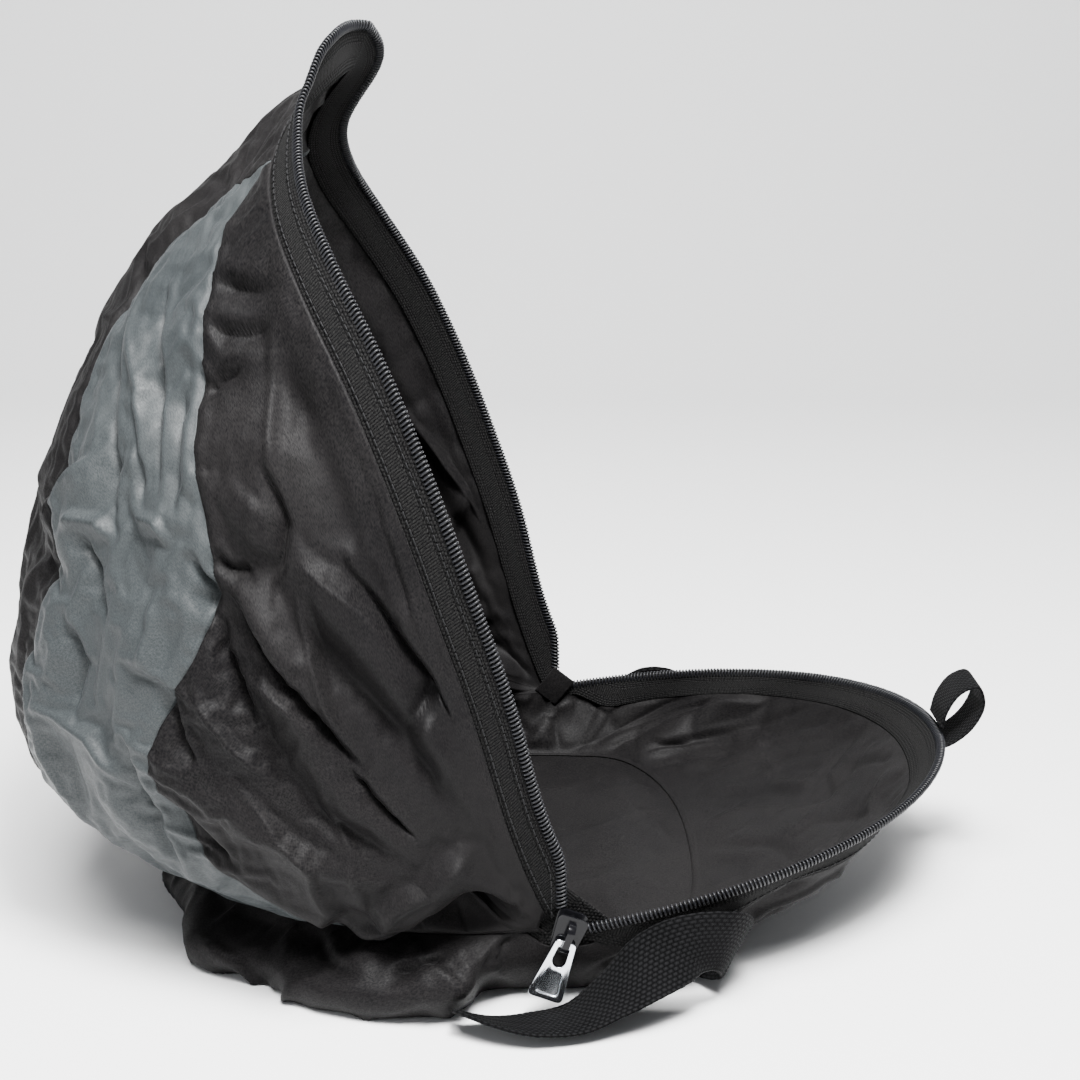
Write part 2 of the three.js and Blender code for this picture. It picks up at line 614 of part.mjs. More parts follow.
// Strap of webbing along a route; lean turns it from lying flat to standing on its edge
function strap(name, mirror) {
  const route = new THREE.CatmullRomCurve3(
    STRAP_ROUTE.map((row) => new THREE.Vector3(row.x, row.y, row.z)), false, "centripetal");
  const steps = 40;
  const up = new THREE.Vector3(0, 0, 1);
  const first = [];
  const second = [];
  const normals = [];
  const last = STRAP_ROUTE.length - 1;
  const rows = STRAP_ROUTE.map((row, i) => ({ at: i / last, lean: row.lean, wide: row.wide }));
  for (const t of evenSteps(0, 1, steps)) {
    const centre = route.getPoint(t);
    const ahead = route.getTangent(t);
    const side = up.clone().cross(ahead).normalize();
    const rise = ahead.clone().cross(side).normalize();
    const lean = radians(read(rows, "at", "lean", t));
    const width = side.multiplyScalar(Math.cos(lean)).addScaledVector(rise, Math.sin(lean));
    const normal = ahead.clone().cross(width).normalize();
    const half = Math.min(read(rows, "at", "wide", t), WEBBING_WIDTH) / 2;
    const low = centre.clone().addScaledVector(width, -half);
    const high = centre.clone().addScaledVector(width, half);
    for (const p of [low, high, normal]) {
      p.y *= mirror;
    }
    first.push(low);
    second.push(high);
    normals.push(normal);
  }
  addPiece(name, band(first, second, normals, WEBBING_THICK), WEBBING);
}
strap("shoulder_strap_near", 1);
strap("shoulder_strap_far", -1);

function haulLoop() {
  const route = new THREE.CatmullRomCurve3(HAUL_ROUTE.map((row) => new THREE.Vector3(row.x, 0, row.z)));
  const sideways = new THREE.Vector3(0, 1, 0);
  const first = [];
  const second = [];
  const normals = [];
  for (const t of evenSteps(0, 1, 22)) {
    const centre = route.getPoint(t);
    first.push(centre.clone().addScaledVector(sideways, -HAUL_WIDTH / 2));
    second.push(centre.clone().addScaledVector(sideways, HAUL_WIDTH / 2));
    normals.push(route.getTangent(t).cross(sideways).normalize());
  }
  addPiece("haul_loop", band(first, second, normals, WEBBING_THICK), BLACK_CLOTH);
}
haulLoop();

// Joining and cutting of the small hard pieces
function toSolid(geometry) {
  const soup = geometry.index ? geometry.toNonIndexed() : geometry;
  const p = soup.getAttribute("position");
  const seen = new Map();
  const vertProperties = [];
  const triVerts = [];
  for (let i = 0; i < p.count; i += 1) {
    const corner = [p.getX(i), p.getY(i), p.getZ(i)];
    const key = corner.map((value) => value.toFixed(4)).join(",");
    if (!seen.has(key)) {
      seen.set(key, seen.size);
      vertProperties.push(...corner);
    }
    triVerts.push(seen.get(key));
  }
  return new wasm.Manifold(new wasm.Mesh({
    numProp: 3,
    vertProperties: new Float32Array(vertProperties),
    triVerts: new Uint32Array(triVerts),
  }));
}

function toGeometry(solid) {
  const mesh = solid.getMesh();
  const geometry = new THREE.BufferGeometry();
  const corners = Array.from(mesh.vertProperties);
  geometry.setAttribute("position", new THREE.Float32BufferAttribute(corners, 3));
  geometry.setIndex(Array.from(mesh.triVerts));
  geometry.computeVertexNormals();
  return geometry;
}

function plate(points, thick, bottom) {
  const shape = new THREE.Shape(points.map(([x, y]) => new THREE.Vector2(x, y)));
  const geometry = new THREE.ExtrudeGeometry(shape, { depth: thick, bevelEnabled: false });
  geometry.translate(0, 0, bottom);
  return geometry;
}

// Rounded outline that narrows from one end to the other, drawn round from its lower left corner
function taperedOutline(bottom, top, low, high, round) {
  const shape = new THREE.Shape();
  shape.moveTo(-bottom / 2 + round, low);
  shape.lineTo(bottom / 2 - round, low);
  shape.quadraticCurveTo(bottom / 2, low, bottom / 2, low + round);
  shape.lineTo(top / 2, high - round);
  shape.quadraticCurveTo(top / 2, high, top / 2 - round, high);
  shape.lineTo(-top / 2 + round, high);
  shape.quadraticCurveTo(-top / 2, high, -top / 2, high - round);
  shape.lineTo(-bottom / 2, low + round);
  shape.quadraticCurveTo(-bottom / 2, low, -bottom / 2 + round, low);
  return shape;
}

function sheetOf(shape, thick, bottom, curveSegments) {
  const settings = { depth: thick, bevelEnabled: false, curveSegments };
  const geometry = new THREE.ExtrudeGeometry(shape, settings);
  geometry.translate(0, 0, bottom);
  return geometry;
}

// Slider frame: X across the zip, Y along it towards the open zip, Z out of the pack
function sliderFrame() {
  const along = new THREE.Vector3(Math.cos(radians(SLIDER.turn)), 0, Math.sin(radians(SLIDER.turn)));
  const out = new THREE.Vector3(0, -1, 0);
  const across = along.clone().cross(out);
  const frame = new THREE.Matrix4().makeBasis(across, along, out);
  frame.setPosition(SLIDER.x, SLIDER.y, SLIDER.z);
  return frame;
}

function slider() {
  const half = SLIDER.length / 2;
  const plateShape = () => taperedOutline(SLIDER.tail, SLIDER.mouth, -half, half, 1.6);
  let solid = toSolid(sheetOf(plateShape(), 1, 1.6, 3));
  solid = solid.add(toSolid(sheetOf(plateShape(), 1, -2.6, 3)));
  const post = plate([[0, half - 5], [1.5, half - 2.6], [0, half - 0.6], [-1.5, half - 2.6]], 3.4, -1.7);
  solid = solid.add(toSolid(post));
  for (const side of [-1, 1]) {
    const x = side * (SLIDER.tail / 2 - 0.5);
    const low = -half + 1.4;
    const edge = [[x - 0.5, low], [x + 0.5, low], [x + 0.5, 0.6], [x - 0.5, 0.6]];
    const flange = plate(edge, 1, 0.8);
    solid = solid.add(toSolid(flange));
  }
  const bridge = new THREE.Shape();
  bridge.moveTo(-4.6, 2.4);
  bridge.lineTo(-3.4, 2.4);
  bridge.lineTo(-3.4, 4.2);
  bridge.quadraticCurveTo(-3.2, 5.5, -1.6, 5.5);
  bridge.lineTo(1.8, 5.5);
  bridge.quadraticCurveTo(3.3, 5.3, 3.4, 4.2);
  bridge.lineTo(3.4, 2.4);
  bridge.lineTo(4.6, 2.4);
  bridge.lineTo(4.6, 4.4);
  bridge.quadraticCurveTo(4.4, 6.5, 2.2, 6.7);
  bridge.lineTo(-2, 6.7);
  bridge.quadraticCurveTo(-4.4, 6.6, -4.6, 4.4);
  const arch = sheetOf(bridge, 2.2, -1.1, 4);
  const stand = new THREE.Matrix4().makeBasis(
    new THREE.Vector3(0, 1, 0), new THREE.Vector3(0, 0, 1), new THREE.Vector3(1, 0, 0));
  arch.applyMatrix4(stand);
  solid = solid.add(toSolid(arch));
  const geometry = toGeometry(solid);
  geometry.applyMatrix4(sliderFrame());
  addPiece("zip_slider", geometry, BLACK_ENAMEL);
}
slider();

// Pull tab: narrow at the eye, wider at the grip, with a window at the eye and a sunk field in the grip
function pull() {
  const shape = taperedOutline(PULL.bottom, PULL.top, -PULL.length + 1, 1, 1.7);
  const window = new THREE.Path();
  window.moveTo(-1.75, -1.3);
  window.lineTo(-2.1, -5.2);
  window.quadraticCurveTo(-2, -7.6, 0, -7.7);
  window.quadraticCurveTo(2, -7.6, 2.1, -5.2);
  window.lineTo(1.75, -1.3);
  window.quadraticCurveTo(0, -0.9, -1.75, -1.3);
  shape.holes.push(window);
  let solid = toSolid(sheetOf(shape, PULL.thick, -PULL.thick / 2, 4));
  const field = taperedOutline(7, 5.4, -PULL.length + 2.8, -9.6, 1.4);
  solid = solid.subtract(toSolid(sheetOf(field, 2, PULL.thick / 2 - 0.45, 3)));
  const geometry = toGeometry(solid);
  geometry.translate(0, PULL_AXIS.along, PULL_AXIS.out);
  geometry.applyMatrix4(sliderFrame());
  addPiece("zip_pull", geometry, NICKEL);
}
pull();

// Set the pack down with its lowest point on the ground and its middle over the origin
const box = new THREE.Box3().setFromObject(root);
const centre = box.getCenter(new THREE.Vector3());
for (const mesh of root.children) {
  mesh.geometry.translate(-centre.x, -centre.y, -box.min.z);
}

export default root;
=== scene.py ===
import json
import math
import bpy
import bmesh
import numpy as np
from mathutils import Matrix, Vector


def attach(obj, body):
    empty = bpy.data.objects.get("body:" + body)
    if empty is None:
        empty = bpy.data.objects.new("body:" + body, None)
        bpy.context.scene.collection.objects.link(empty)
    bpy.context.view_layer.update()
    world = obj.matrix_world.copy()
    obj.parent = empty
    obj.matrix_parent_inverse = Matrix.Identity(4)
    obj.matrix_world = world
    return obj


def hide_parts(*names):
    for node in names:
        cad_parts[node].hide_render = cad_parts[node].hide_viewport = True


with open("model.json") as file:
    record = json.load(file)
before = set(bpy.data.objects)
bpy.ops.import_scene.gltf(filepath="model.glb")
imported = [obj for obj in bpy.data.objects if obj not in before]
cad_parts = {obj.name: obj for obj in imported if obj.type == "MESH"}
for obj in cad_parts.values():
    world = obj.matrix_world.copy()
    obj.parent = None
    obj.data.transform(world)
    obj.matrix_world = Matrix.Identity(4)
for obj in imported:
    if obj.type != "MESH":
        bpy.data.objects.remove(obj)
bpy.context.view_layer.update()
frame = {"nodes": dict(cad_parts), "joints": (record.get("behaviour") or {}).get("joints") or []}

# packable backpack of thin nylon, lying half unzipped on its back panel
body = "bag"
pullBody = "pull"

# worked out in mm from the zip axis, as the solids are, then moved into the shared frame
hingePoint = frame["joints"][0]["pos_m"]
sliderPlace = dict(x=19, y=-109.5, z=26, turn=70, along=-2, out=4)
sliderTurn = math.radians(sliderPlace["turn"])
shiftX = hingePoint[0] * 1000 - (sliderPlace["x"] + sliderPlace["along"] * math.cos(sliderTurn))


def toFrame(points):  # mm beside the zip axis to metres in the frame
    out = np.array(points, float)
    out[..., 0] += shiftX
    return out * 0.001


# tables are read smoothly between their rows
def readRows(table, key, column, at):
    k = np.array(table[key], float)
    c = np.array(table[column], float)
    at = np.asarray(at, float)
    last = len(k) - 1
    up = np.minimum(np.arange(last + 1) + 1, last)
    down = np.maximum(np.arange(last + 1) - 1, 0)
    slope = (c[up] - c[down]) / (k[up] - k[down])
    row = np.clip(np.searchsorted(k, at) - 1, 0, last - 1)
    span = k[row + 1] - k[row]
    t = np.clip((at - k[row]) / span, 0, 1)
    return ((2 * t ** 3 - 3 * t ** 2 + 1) * c[row] + (3 * t ** 2 - 2 * t ** 3) * c[row + 1]
            + (t ** 3 - 2 * t ** 2 + t) * span * slope[row] + (t ** 3 - t ** 2) * span * slope[row + 1])


def smoothStep(x, low, high):
    t = np.clip((np.asarray(x, float) - low) / (high - low), 0, 1)
    return t * t * (3 - 2 * t)


def unit(v):
    return v / np.maximum(np.linalg.norm(v, axis=-1, keepdims=True), 1e-9)


def runAlong(points):  # length along a row of points, from 0
    return np.concatenate([[0], np.cumsum(np.linalg.norm(np.diff(points, axis=0), axis=-1))])


def linkObject(name, data):
    made = bpy.data.objects.new(name, data)
    bpy.context.scene.collection.objects.link(made)
    return made


def cloudNoise(u, v, seed):  # soft noise from -1 to 1 on a grid of one unit
    grid = np.random.RandomState(seed).uniform(-1, 1, (97, 97))
    iu = np.floor(u).astype(int)
    iv = np.floor(v).astype(int)
    fu = u - iu
    fv = v - iv
    fu = fu ** 3 * (fu * (fu * 6 - 15) + 10)
    fv = fv ** 3 * (fv * (fv * 6 - 15) + 10)
    a = grid[iu % 97, iv % 97] * (1 - fu) + grid[(iu + 1) % 97, iv % 97] * fu
    b = grid[iu % 97, (iv + 1) % 97] * (1 - fu) + grid[(iu + 1) % 97, (iv + 1) % 97] * fu
    return a * (1 - fv) + b * fv


def creaseNoise(u, v, seed):  # sharp creases between soft pillows, about -1 to 1
    return 1 - 2.4 * np.abs(cloudNoise(u, v, seed))


# camera first, at the photograph's angle
view = dict(eye=(0.0124, -0.600, 0.279), pitch=15.0, focalPixels=1800.0, framePixels=1080.0)


def setCamera():
    data = bpy.data.cameras.new("photoCamera")
    data.sensor_width = 36.0
    data.lens = 36.0 * view["focalPixels"] / view["framePixels"]
    data.clip_start = 0.01
    data.clip_end = 50.0
    camera = linkObject("photoCamera", data)
    camera.location = view["eye"]
    camera.rotation_euler = (math.radians(90.0 - view["pitch"]), 0.0, 0.0)
    bpy.context.scene.camera = camera


setCamera()
print("camera set")


# shader maths: one value of a material; sums and products of it add Math nodes
class Val:
    def __init__(self, tree, socket):
        self.tree = tree
        self.socket = socket

    def math(self, operation, first, second=None):
        node = self.tree.nodes.new("ShaderNodeMath")
        node.operation = operation
        for place, value in enumerate((first, second)):
            if isinstance(value, Val):
                self.tree.links.new(value.socket, node.inputs[place])
            elif value is not None:
                node.inputs[place].default_value = value
        return Val(self.tree, node.outputs[0])

    def __add__(self, other):
        return self.math("ADD", self, other)

    def __radd__(self, other):
        return self.math("ADD", other, self)

    def __sub__(self, other):
        return self.math("SUBTRACT", self, other)

    def __rsub__(self, other):
        return self.math("SUBTRACT", other, self)

    def __mul__(self, other):
        return self.math("MULTIPLY", self, other)

    def __rmul__(self, other):
        return self.math("MULTIPLY", other, self)

    def __truediv__(self, other):
        return self.math("DIVIDE", self, other)

    def sin(self):
        return self.math("SINE", self)

    def floor(self):
        return self.math("FLOOR", self)

    def mod(self, other):
        return self.math("FLOORED_MODULO", self, other)

    def size(self):
        return self.math("ABSOLUTE", self)

    def over(self, other):
        return self.math("GREATER_THAN", self, other)


# one material with its Principled shader
class Finish:
    def __init__(self, name, **constants):
        self.material = bpy.data.materials.new(name)
        self.material.use_nodes = True
        self.tree = self.material.node_tree
        self.shader = self.tree.nodes["Principled BSDF"]
        for socket, value in constants.items():
            self.shader.inputs[socket.replace("_", " ")].default_value = value

    def node(self, kind, settings=None, sockets=None, out=0):
        made = self.tree.nodes.new(kind)
        for key, value in (settings or {}).items():
            setattr(made, key, value)
        for key, value in (sockets or {}).items():
            if isinstance(value, Val):
                self.tree.links.new(value.socket, made.inputs[key])
            else:
                made.inputs[key].default_value = value
        return Val(self.tree, made.outputs[out])

    def place(self):  # object coordinates
        return self.node("ShaderNodeTexCoord", out=3)

    def cloth(self):  # the piece's own cloth coordinates, in metres
        vector = self.node("ShaderNodeUVMap", {"uv_map": "cloth"})
        split = self.tree.nodes.new("ShaderNodeSeparateXYZ")
        self.tree.links.new(vector.socket, split.inputs[0])
        return Val(self.tree, split.outputs[0]), Val(self.tree, split.outputs[1])

    def noise(self, vector, scale, detail=3.0, roughness=0.55):
        return self.node("ShaderNodeTexNoise", {"noise_dimensions": "3D"},
                         {"Vector": vector, "Scale": scale, "Detail": detail, "Roughness": roughness})

    def blendColour(self, factor, first, second):
        return self.node("ShaderNodeMix", {"data_type": "RGBA", "blend_type": "MIX", "clamp_factor": True},
                         {0: factor, 6: first + (1,), 7: second + (1,)}, out=2)

    def bump(self, height, distance, strength=1.0, under=None):
        sockets = {"Height": height, "Distance": distance, "Strength": strength}
        if under is not None:
            sockets["Normal"] = under
        return self.node("ShaderNodeBump", None, sockets)

    def feed(self, **links):
        for socket, value in links.items():
            self.tree.links.new(value.socket, self.shader.inputs[socket.replace("_", " ")])


def threadGrain(finish, u, v, pitch):  # uneven threads crossing both ways, about 0 to 1
    warp = finish.node("ShaderNodeCombineXYZ", None, {0: u / pitch, 1: v / (pitch * 3)})
    weft = finish.node("ShaderNodeCombineXYZ", None, {0: u / (pitch * 3), 1: v / pitch, 2: 5.0})
    return (finish.noise(warp, 1.0, 1.0) + finish.noise(weft, 1.0, 1.0) - 1.0) * 1.9 + 0.5


# sizes and depths in metres, noise scales per metre
nylonLook = dict(pitch=0.00034, weaveDepth=0.00003, creaseDepth=0.00006, broad=22.0, fine=260.0, crease=120.0)
mattCloth = dict(Sheen_Weight=0.008, Sheen_Roughness=0.5, Specular_IOR_Level=0.03)
tapeLook = dict(dark=(0.0003, 0.0003, 0.0005), light=(0.0155, 0.0152, 0.0149), rib=0.0009,
                pebble=(0.0013, 0.001), middle=0.0062, middleHalf=0.0021, thread=0.0003, depth=0.00022)
webbingLook = dict(dark=(0.0005, 0.0005, 0.0006), light=(0.0088, 0.0088, 0.0094), pebble=(0.0019, 0.0013),
                   thread=(0.0003, 0.0005), broad=90.0, depth=0.0004)
coilLook = dict(dark=(0.004, 0.004, 0.005), light=(0.010, 0.0105, 0.013), grain=900.0, depth=0.00005)
enamelLook = dict(dark=(0.0015, 0.0015, 0.002), light=(0.005, 0.005, 0.006), peel=700.0, worn=180.0,
                  depth=0.00008)
nickelLook = dict(dark=(0.50, 0.53, 0.57), light=(0.74, 0.77, 0.80), polish=320.0, scuff=1400.0, depth=0.00003)


def makeNylon(name, look):
    roughLow, roughHigh = look["rough"]
    finish = Finish(name, Sheen_Weight=look["sheen"], Sheen_Roughness=0.4, Specular_IOR_Level=look["gloss"])
    finish.shader.inputs["Sheen Tint"].default_value = look["tint"] + (1,)
    u, v = finish.cloth()
    place = finish.place()
    weave = threadGrain(finish, u, v, nylonLook["pitch"])
    broad = finish.noise(place, nylonLook["broad"], 3.0)
    fine = finish.noise(place, nylonLook["fine"], 2.0)
    shade = (broad - 0.5) * 0.9 + (fine - 0.5) * 0.35 + weave
    colour = finish.blendColour(shade, look["dark"], look["light"])
    rough = (broad - 0.5) * (roughHigh - roughLow) * 1.4 + (roughLow + roughHigh) / 2 - (weave - 0.5) * 0.12
    crease = finish.noise(place, nylonLook["crease"], 4.0, 0.6)
    under = finish.bump(crease, nylonLook["creaseDepth"], 0.5)
    normal = finish.bump(weave, nylonLook["weaveDepth"], 0.6, under)
    finish.feed(Base_Color=colour, Roughness=rough, Normal=normal)
    return finish.material


def pebbleWeave(u, v, sizes):  # raised pebbles, every other row shifted by half of one
    long, wide = sizes
    row = (v / wide).floor().mod(2.0)
    return ((u / long + row * 0.5) * math.pi).sin().size() * ((v / wide) * math.pi).sin().size()


def makeTape(name):  # ribbed along the middle, pebbled at both edges
    finish = Finish(name, **mattCloth)
    u, v = finish.cloth()
    cross = (u * (math.pi / tapeLook["rib"])).sin().size()
    pebble = pebbleWeave(u, v, tapeLook["pebble"])
    middle = 1.0 - (v - tapeLook["middle"]).size().over(tapeLook["middleHalf"])
    height = middle * cross * 0.8 + (1.0 - middle) * pebble
    speck = threadGrain(finish, u, v, tapeLook["thread"])
    # tone is partly thread grain (speck) and partly painted shade: the raised ribs and pebbles are painted
    # lighter and the hollows between them darker
    shade = height * 0.5 + speck * 0.8 - 0.25
    colour = finish.blendColour(shade, tapeLook["dark"], tapeLook["light"])
    rough = 0.85 - height * 0.2
    normal = finish.bump(height, tapeLook["depth"], 0.9)
    finish.feed(Base_Color=colour, Roughness=rough, Normal=normal)
    return finish.material


def makeWebbing(name):
    finish = Finish(name, **mattCloth)
    u, v = finish.cloth()
    place = finish.place()
    pebble = pebbleWeave(u, v, webbingLook["pebble"])
    along, across = webbingLook["thread"]
    thread = (u * (math.pi / along) + v * (math.pi / across)).sin()
    broad = finish.noise(place, webbingLook["broad"], 3.0)
    # tone is partly random (broad) and partly painted shade: the raised pebbles are painted lighter and the
    # hollows between them darker
    shade = pebble * 0.75 + broad * 0.3 - 0.1
    colour = finish.blendColour(shade, webbingLook["dark"], webbingLook["light"])
    rough = 0.78 - pebble * 0.18
    normal = finish.bump(pebble + thread * 0.12, webbingLook["depth"], 0.8)
    finish.feed(Base_Color=colour, Roughness=rough, Normal=normal)
    return finish.material


def makeCoil(name):
    finish = Finish(name, Specular_IOR_Level=0.3)
    place = finish.place()
    grain = finish.noise(place, coilLook["grain"], 2.0)
    colour = finish.blendColour(grain, coilLook["dark"], coilLook["light"])
    normal = finish.bump(grain, coilLook["depth"], 0.4)
    finish.feed(Base_Color=colour, Roughness=0.34 + grain * 0.14, Normal=normal)
    return finish.material


def makeEnamel(name):
    finish = Finish(name, Coat_Weight=0.12, Coat_Roughness=0.1, Specular_IOR_Level=0.1)
    place = finish.place()
    peel = finish.noise(place, enamelLook["peel"], 2.0)
    worn = finish.noise(place, enamelLook["worn"], 4.0)
    colour = finish.blendColour(worn, enamelLook["dark"], enamelLook["light"])
    normal = finish.bump(peel, enamelLook["depth"], 0.35)
    finish.feed(Base_Color=colour, Roughness=0.16 + worn * 0.14, Normal=normal)
    return finish.material


def makeNickel(name):
    finish = Finish(name, Metallic=1.0)
    place = finish.place()
    polish = finish.noise(place, nickelLook["polish"], 4.0)
    scuff = finish.noise(place, nickelLook["scuff"], 2.0)
    colour = finish.blendColour(polish, nickelLook["dark"], nickelLook["light"])
    rough = 0.10 + polish * 0.12 + (scuff - 0.5) * 0.06
    finish.feed(Base_Color=colour, Roughness=rough, Normal=finish.bump(scuff, nickelLook["depth"], 0.3))
    return finish.material


blackNylon = makeNylon("blackNylon", dict(
    dark=(0.0020, 0.0019, 0.0022), light=(0.0099, 0.0092, 0.0092), rough=(0.50, 0.64),
    sheen=0.01, gloss=0.06, tint=(0.72, 0.70, 0.70)))
greyNylon = makeNylon("greyNylon", dict(
    dark=(0.0160, 0.0190, 0.0204), light=(0.0334, 0.0374, 0.0384), rough=(0.46, 0.58),
    sheen=0.02, gloss=0.17, tint=(0.9, 0.95, 1.0)))
zipTapeFinish = makeTape("zipTapeKnit")
webbingFinish = makeWebbing("webbingWeave")
coilFinish = makeCoil("coilNylon")
enamelFinish = makeEnamel("blackEnamel")
nickelFinish = makeNickel("polishedNickel")
threadFinish = makeNylon("sewingThread", dict(
    dark=(0.003, 0.003, 0.003), light=(0.011, 0.011, 0.012), rough=(0.5, 0.7),
    sheen=0.03, gloss=0.15, tint=(0.8, 0.8, 0.8)))
print("materials made")


# mesh of a net of points; ring joins its last row to the first
def netObject(name, points, uv, material, outward=None, ring=False):
    rows, columns = points.shape[:2]
    place = np.arange(rows * columns).reshape(rows, columns)
    a = place if ring else place[:-1]
    b = np.roll(place, -1, axis=0) if ring else place[1:]
    faces = np.stack([a[:, :-1], b[:, :-1], b[:, 1:], a[:, 1:]], axis=-1).reshape(-1, 4)
    flat = toFrame(points).reshape(-1, 3)
    if outward is not None:
        first = flat[faces[:, 0]]
        normal = np.cross(flat[faces[:, 2]] - first, flat[faces[:, 3]] - flat[faces[:, 1]])
        if (normal * outward.reshape(-1, 3)[faces[:, 0]]).sum() < 0:
            faces = faces[:, ::-1]
    mesh = bpy.data.meshes.new(name)
    mesh.from_pydata(flat.tolist(), [], faces.tolist())
    layer = mesh.uv_layers.new(name="cloth")
    corner = np.empty(len(mesh.loops), dtype=np.int32)
    mesh.loops.foreach_get("vertex_index", corner)
    coordinates = (np.array(uv, float).reshape(-1, 2) * 0.001)[corner]
    if ring:  # the closing row keeps counting on instead of jumping back
        whole = np.ptp(np.array(uv)[..., 0]) * 0.001
        starts = coordinates.reshape(-1, 4, 2)
        jump = np.ptp(starts[:, :, 0], axis=1) > 0.5 * whole
        low = starts[:, :, 0] < 0.25 * whole
        starts[:, :, 0] += np.where(jump[:, None] & low, whole, 0)
        coordinates = starts.reshape(-1, 2)
    layer.data.foreach_set("uv", coordinates.ravel().astype(np.float32))
    mesh.materials.append(material)
    mesh.polygons.foreach_set("use_smooth", np.ones(len(mesh.polygons), dtype=bool))
    mesh.update()
    return linkObject(name, mesh)


def addThickness(piece, thick):
    solid = piece.modifiers.new("thickness", "SOLIDIFY")
    solid.thickness = thick
    solid.offset = 0.0
    solid.use_even_offset = False
    applyModifiers(piece)


def applyModifiers(piece):
    bpy.context.view_layer.update()
    graph = bpy.context.evaluated_depsgraph_get()
    shaped = piece.evaluated_get(graph)
    made = bpy.data.meshes.new_from_object(shaped, preserve_all_data_layers=True, depsgraph=graph)
    piece.modifiers.clear()
    old = piece.data
    piece.data = made
    made.name = piece.name
    bpy.data.meshes.remove(old)


# hood: an arch for each direction round the zip axis, like a pram hood
hood = dict(
    axisX=15, axisZ=25, halfWidth=106, seamAngle=184, zipEnd=0.016, farEnd=0.008, stripeTip=0.002,
    downLength=290, acrossLength=230, softFolds=0.8, ridgeHeight=1.1, valleyDepth=1.6, pinchDepth=0.6,
    pinchReach=2.8, cloth=0.55, rows=270, hemDrop=0.0005,
    slopeStep=0.004, slopeFrom=0.04,
)
hoodProfile = dict(
    angle=[98, 104, 109, 115, 122, 131, 142, 152, 162, 171, 178, 184],
    radius=[263, 261, 255, 243.5, 236.5, 224.5, 211, 201, 193, 180, 157, 130],
    bulge=[25, 25, 24, 24, 25, 26, 27, 26, 23, 17, 8, 3],
)
hoodHem = dict(
    share=[0, 0.05, 0.16, 0.28, 0.44, 0.6, 0.72, 0.82, 0.92, 1],
    angle=[119, 114, 109, 108.5, 109.3, 111, 111.5, 110.2, 105.8, 104.3],
    tape=[3.5, 12.5, 12.5, 12.5, 12.5, 12.5, 12.5, 12.5, 12.5, 12.5],
)
# the tape stands up on the near side of the crown and flops over on the far side
crownCurl = dict(
    station=[0, 0.76, 0.85, 0.91, 0.98, 1.05, 1.12, 1.22, 1.38, 2],
    stand=[0, 0, 0.3, 0.56, 0.56, 0.22, 0, 0, 0, 0],
    fall=[0, 0, 0, 0, 0, 0.2, 0.35, 0.3, 0, 0],
)
stripeSeams = dict(
    drop=[0, 0.05, 0.1, 0.16, 0.22, 0.3, 0.4, 0.5, 0.62, 0.75, 0.87, 1],
    side=[0.8, 0.79, 0.69, 0.61, 0.54, 0.46, 0.44, 0.45, 0.455, 0.41, 0.36, 0.33],
    centre=[0.8, 0.83, 0.87, 0.89, 0.88, 0.82, 0.76, 0.71, 0.71, 0.75, 0.78, 0.78],
)
# main folds: from (drop, share) to (drop, share), half width and height in mm
hoodFolds = [
    (0.05, 0.58, 0.08, 0.36, 13, -3.5), (0.06, 0.52, 0.2, 0.66, 13, -4), (0.24, 0.42, 0.2, 0.24, 15, -6),
    (0.2, 0.36, 0.14, 0.2, 13, 4.5), (0.34, 0.43, 0.52, 0.25, 14, -5.5), (0.29, 0.38, 0.46, 0.24, 13, 4),
    (0.62, 0.44, 0.66, 0.24, 14, 3.5), (0.74, 0.43, 0.97, 0.25, 15, -5), (0.8, 0.36, 0.97, 0.16, 14, 5),
    (0.14, 0.74, 0.62, 0.55, 11, -3), (0.2, 0.7, 0.72, 0.66, 11, 3), (0.3, 0.62, 0.42, 0.5, 11, -3),
    (0.48, 0.7, 0.52, 0.86, 12, -5), (0.72, 0.62, 0.98, 0.46, 13, -4), (0.05, 0.9, 0.22, 0.86, 11, -4),
    (0.1, 0.98, 0.3, 0.94, 11, 3), (0.6, 0.86, 0.86, 0.95, 13, -4),
]


def nearShare(station):
    return np.minimum(station, 2 - station)


def archPoint(radius, angle, station, halfWidth, bulge):
    turn = np.asarray(station, float) * math.pi / 2
    reach = radius * np.sin(turn)
    across = -halfWidth * np.cos(turn) - bulge * np.sin(2 * turn)
    x = hood["axisX"] + reach * np.cos(np.radians(angle))
    z = hood["axisZ"] + reach * np.sin(np.radians(angle))
    return np.stack(np.broadcast_arrays(x, across, z), axis=-1)


def smoothHood(drop, station):
    hem = readRows(hoodHem, "share", "angle", nearShare(station))
    angle = hem + (hood["seamAngle"] - hem) * drop
    radius = readRows(hoodProfile, "angle", "radius", angle)
    bulge = readRows(hoodProfile, "angle", "bulge", angle)
    return archPoint(radius, angle, station, hood["halfWidth"], bulge)


def hoodNormal(drop, station):
    step = hood["slopeStep"]
    at = np.clip(station, hood["slopeFrom"], 2 - hood["slopeFrom"])
    down = smoothHood(drop + step, at) - smoothHood(drop - step, at)
    along = smoothHood(drop, at + step) - smoothHood(drop, at - step)
    return unit(np.cross(along, down))


def foldHeight(drop, share):
    height = np.zeros(np.broadcast(drop, share).shape)
    for d0, s0, d1, s1, half, high in hoodFolds:
        px = (drop - d0) * hood["downLength"]
        py = (share - s0) * hood["acrossLength"]
        lx = (d1 - d0) * hood["downLength"]
        ly = (s1 - s0) * hood["acrossLength"]
        long = math.hypot(lx, ly)
        along = (px * lx + py * ly) / long
        off = (px * ly - py * lx) / long / half
        past = np.maximum(0, np.maximum(-along, along - long)) / half
        height += high * (1 - 0.7 * off * off) * np.exp(-off * off - past * past)
    return height


def sideSeam(drop):
    return readRows(stripeSeams, "drop", "side", drop)


def centreSeam(drop):
    return readRows(stripeSeams, "drop", "centre", drop)


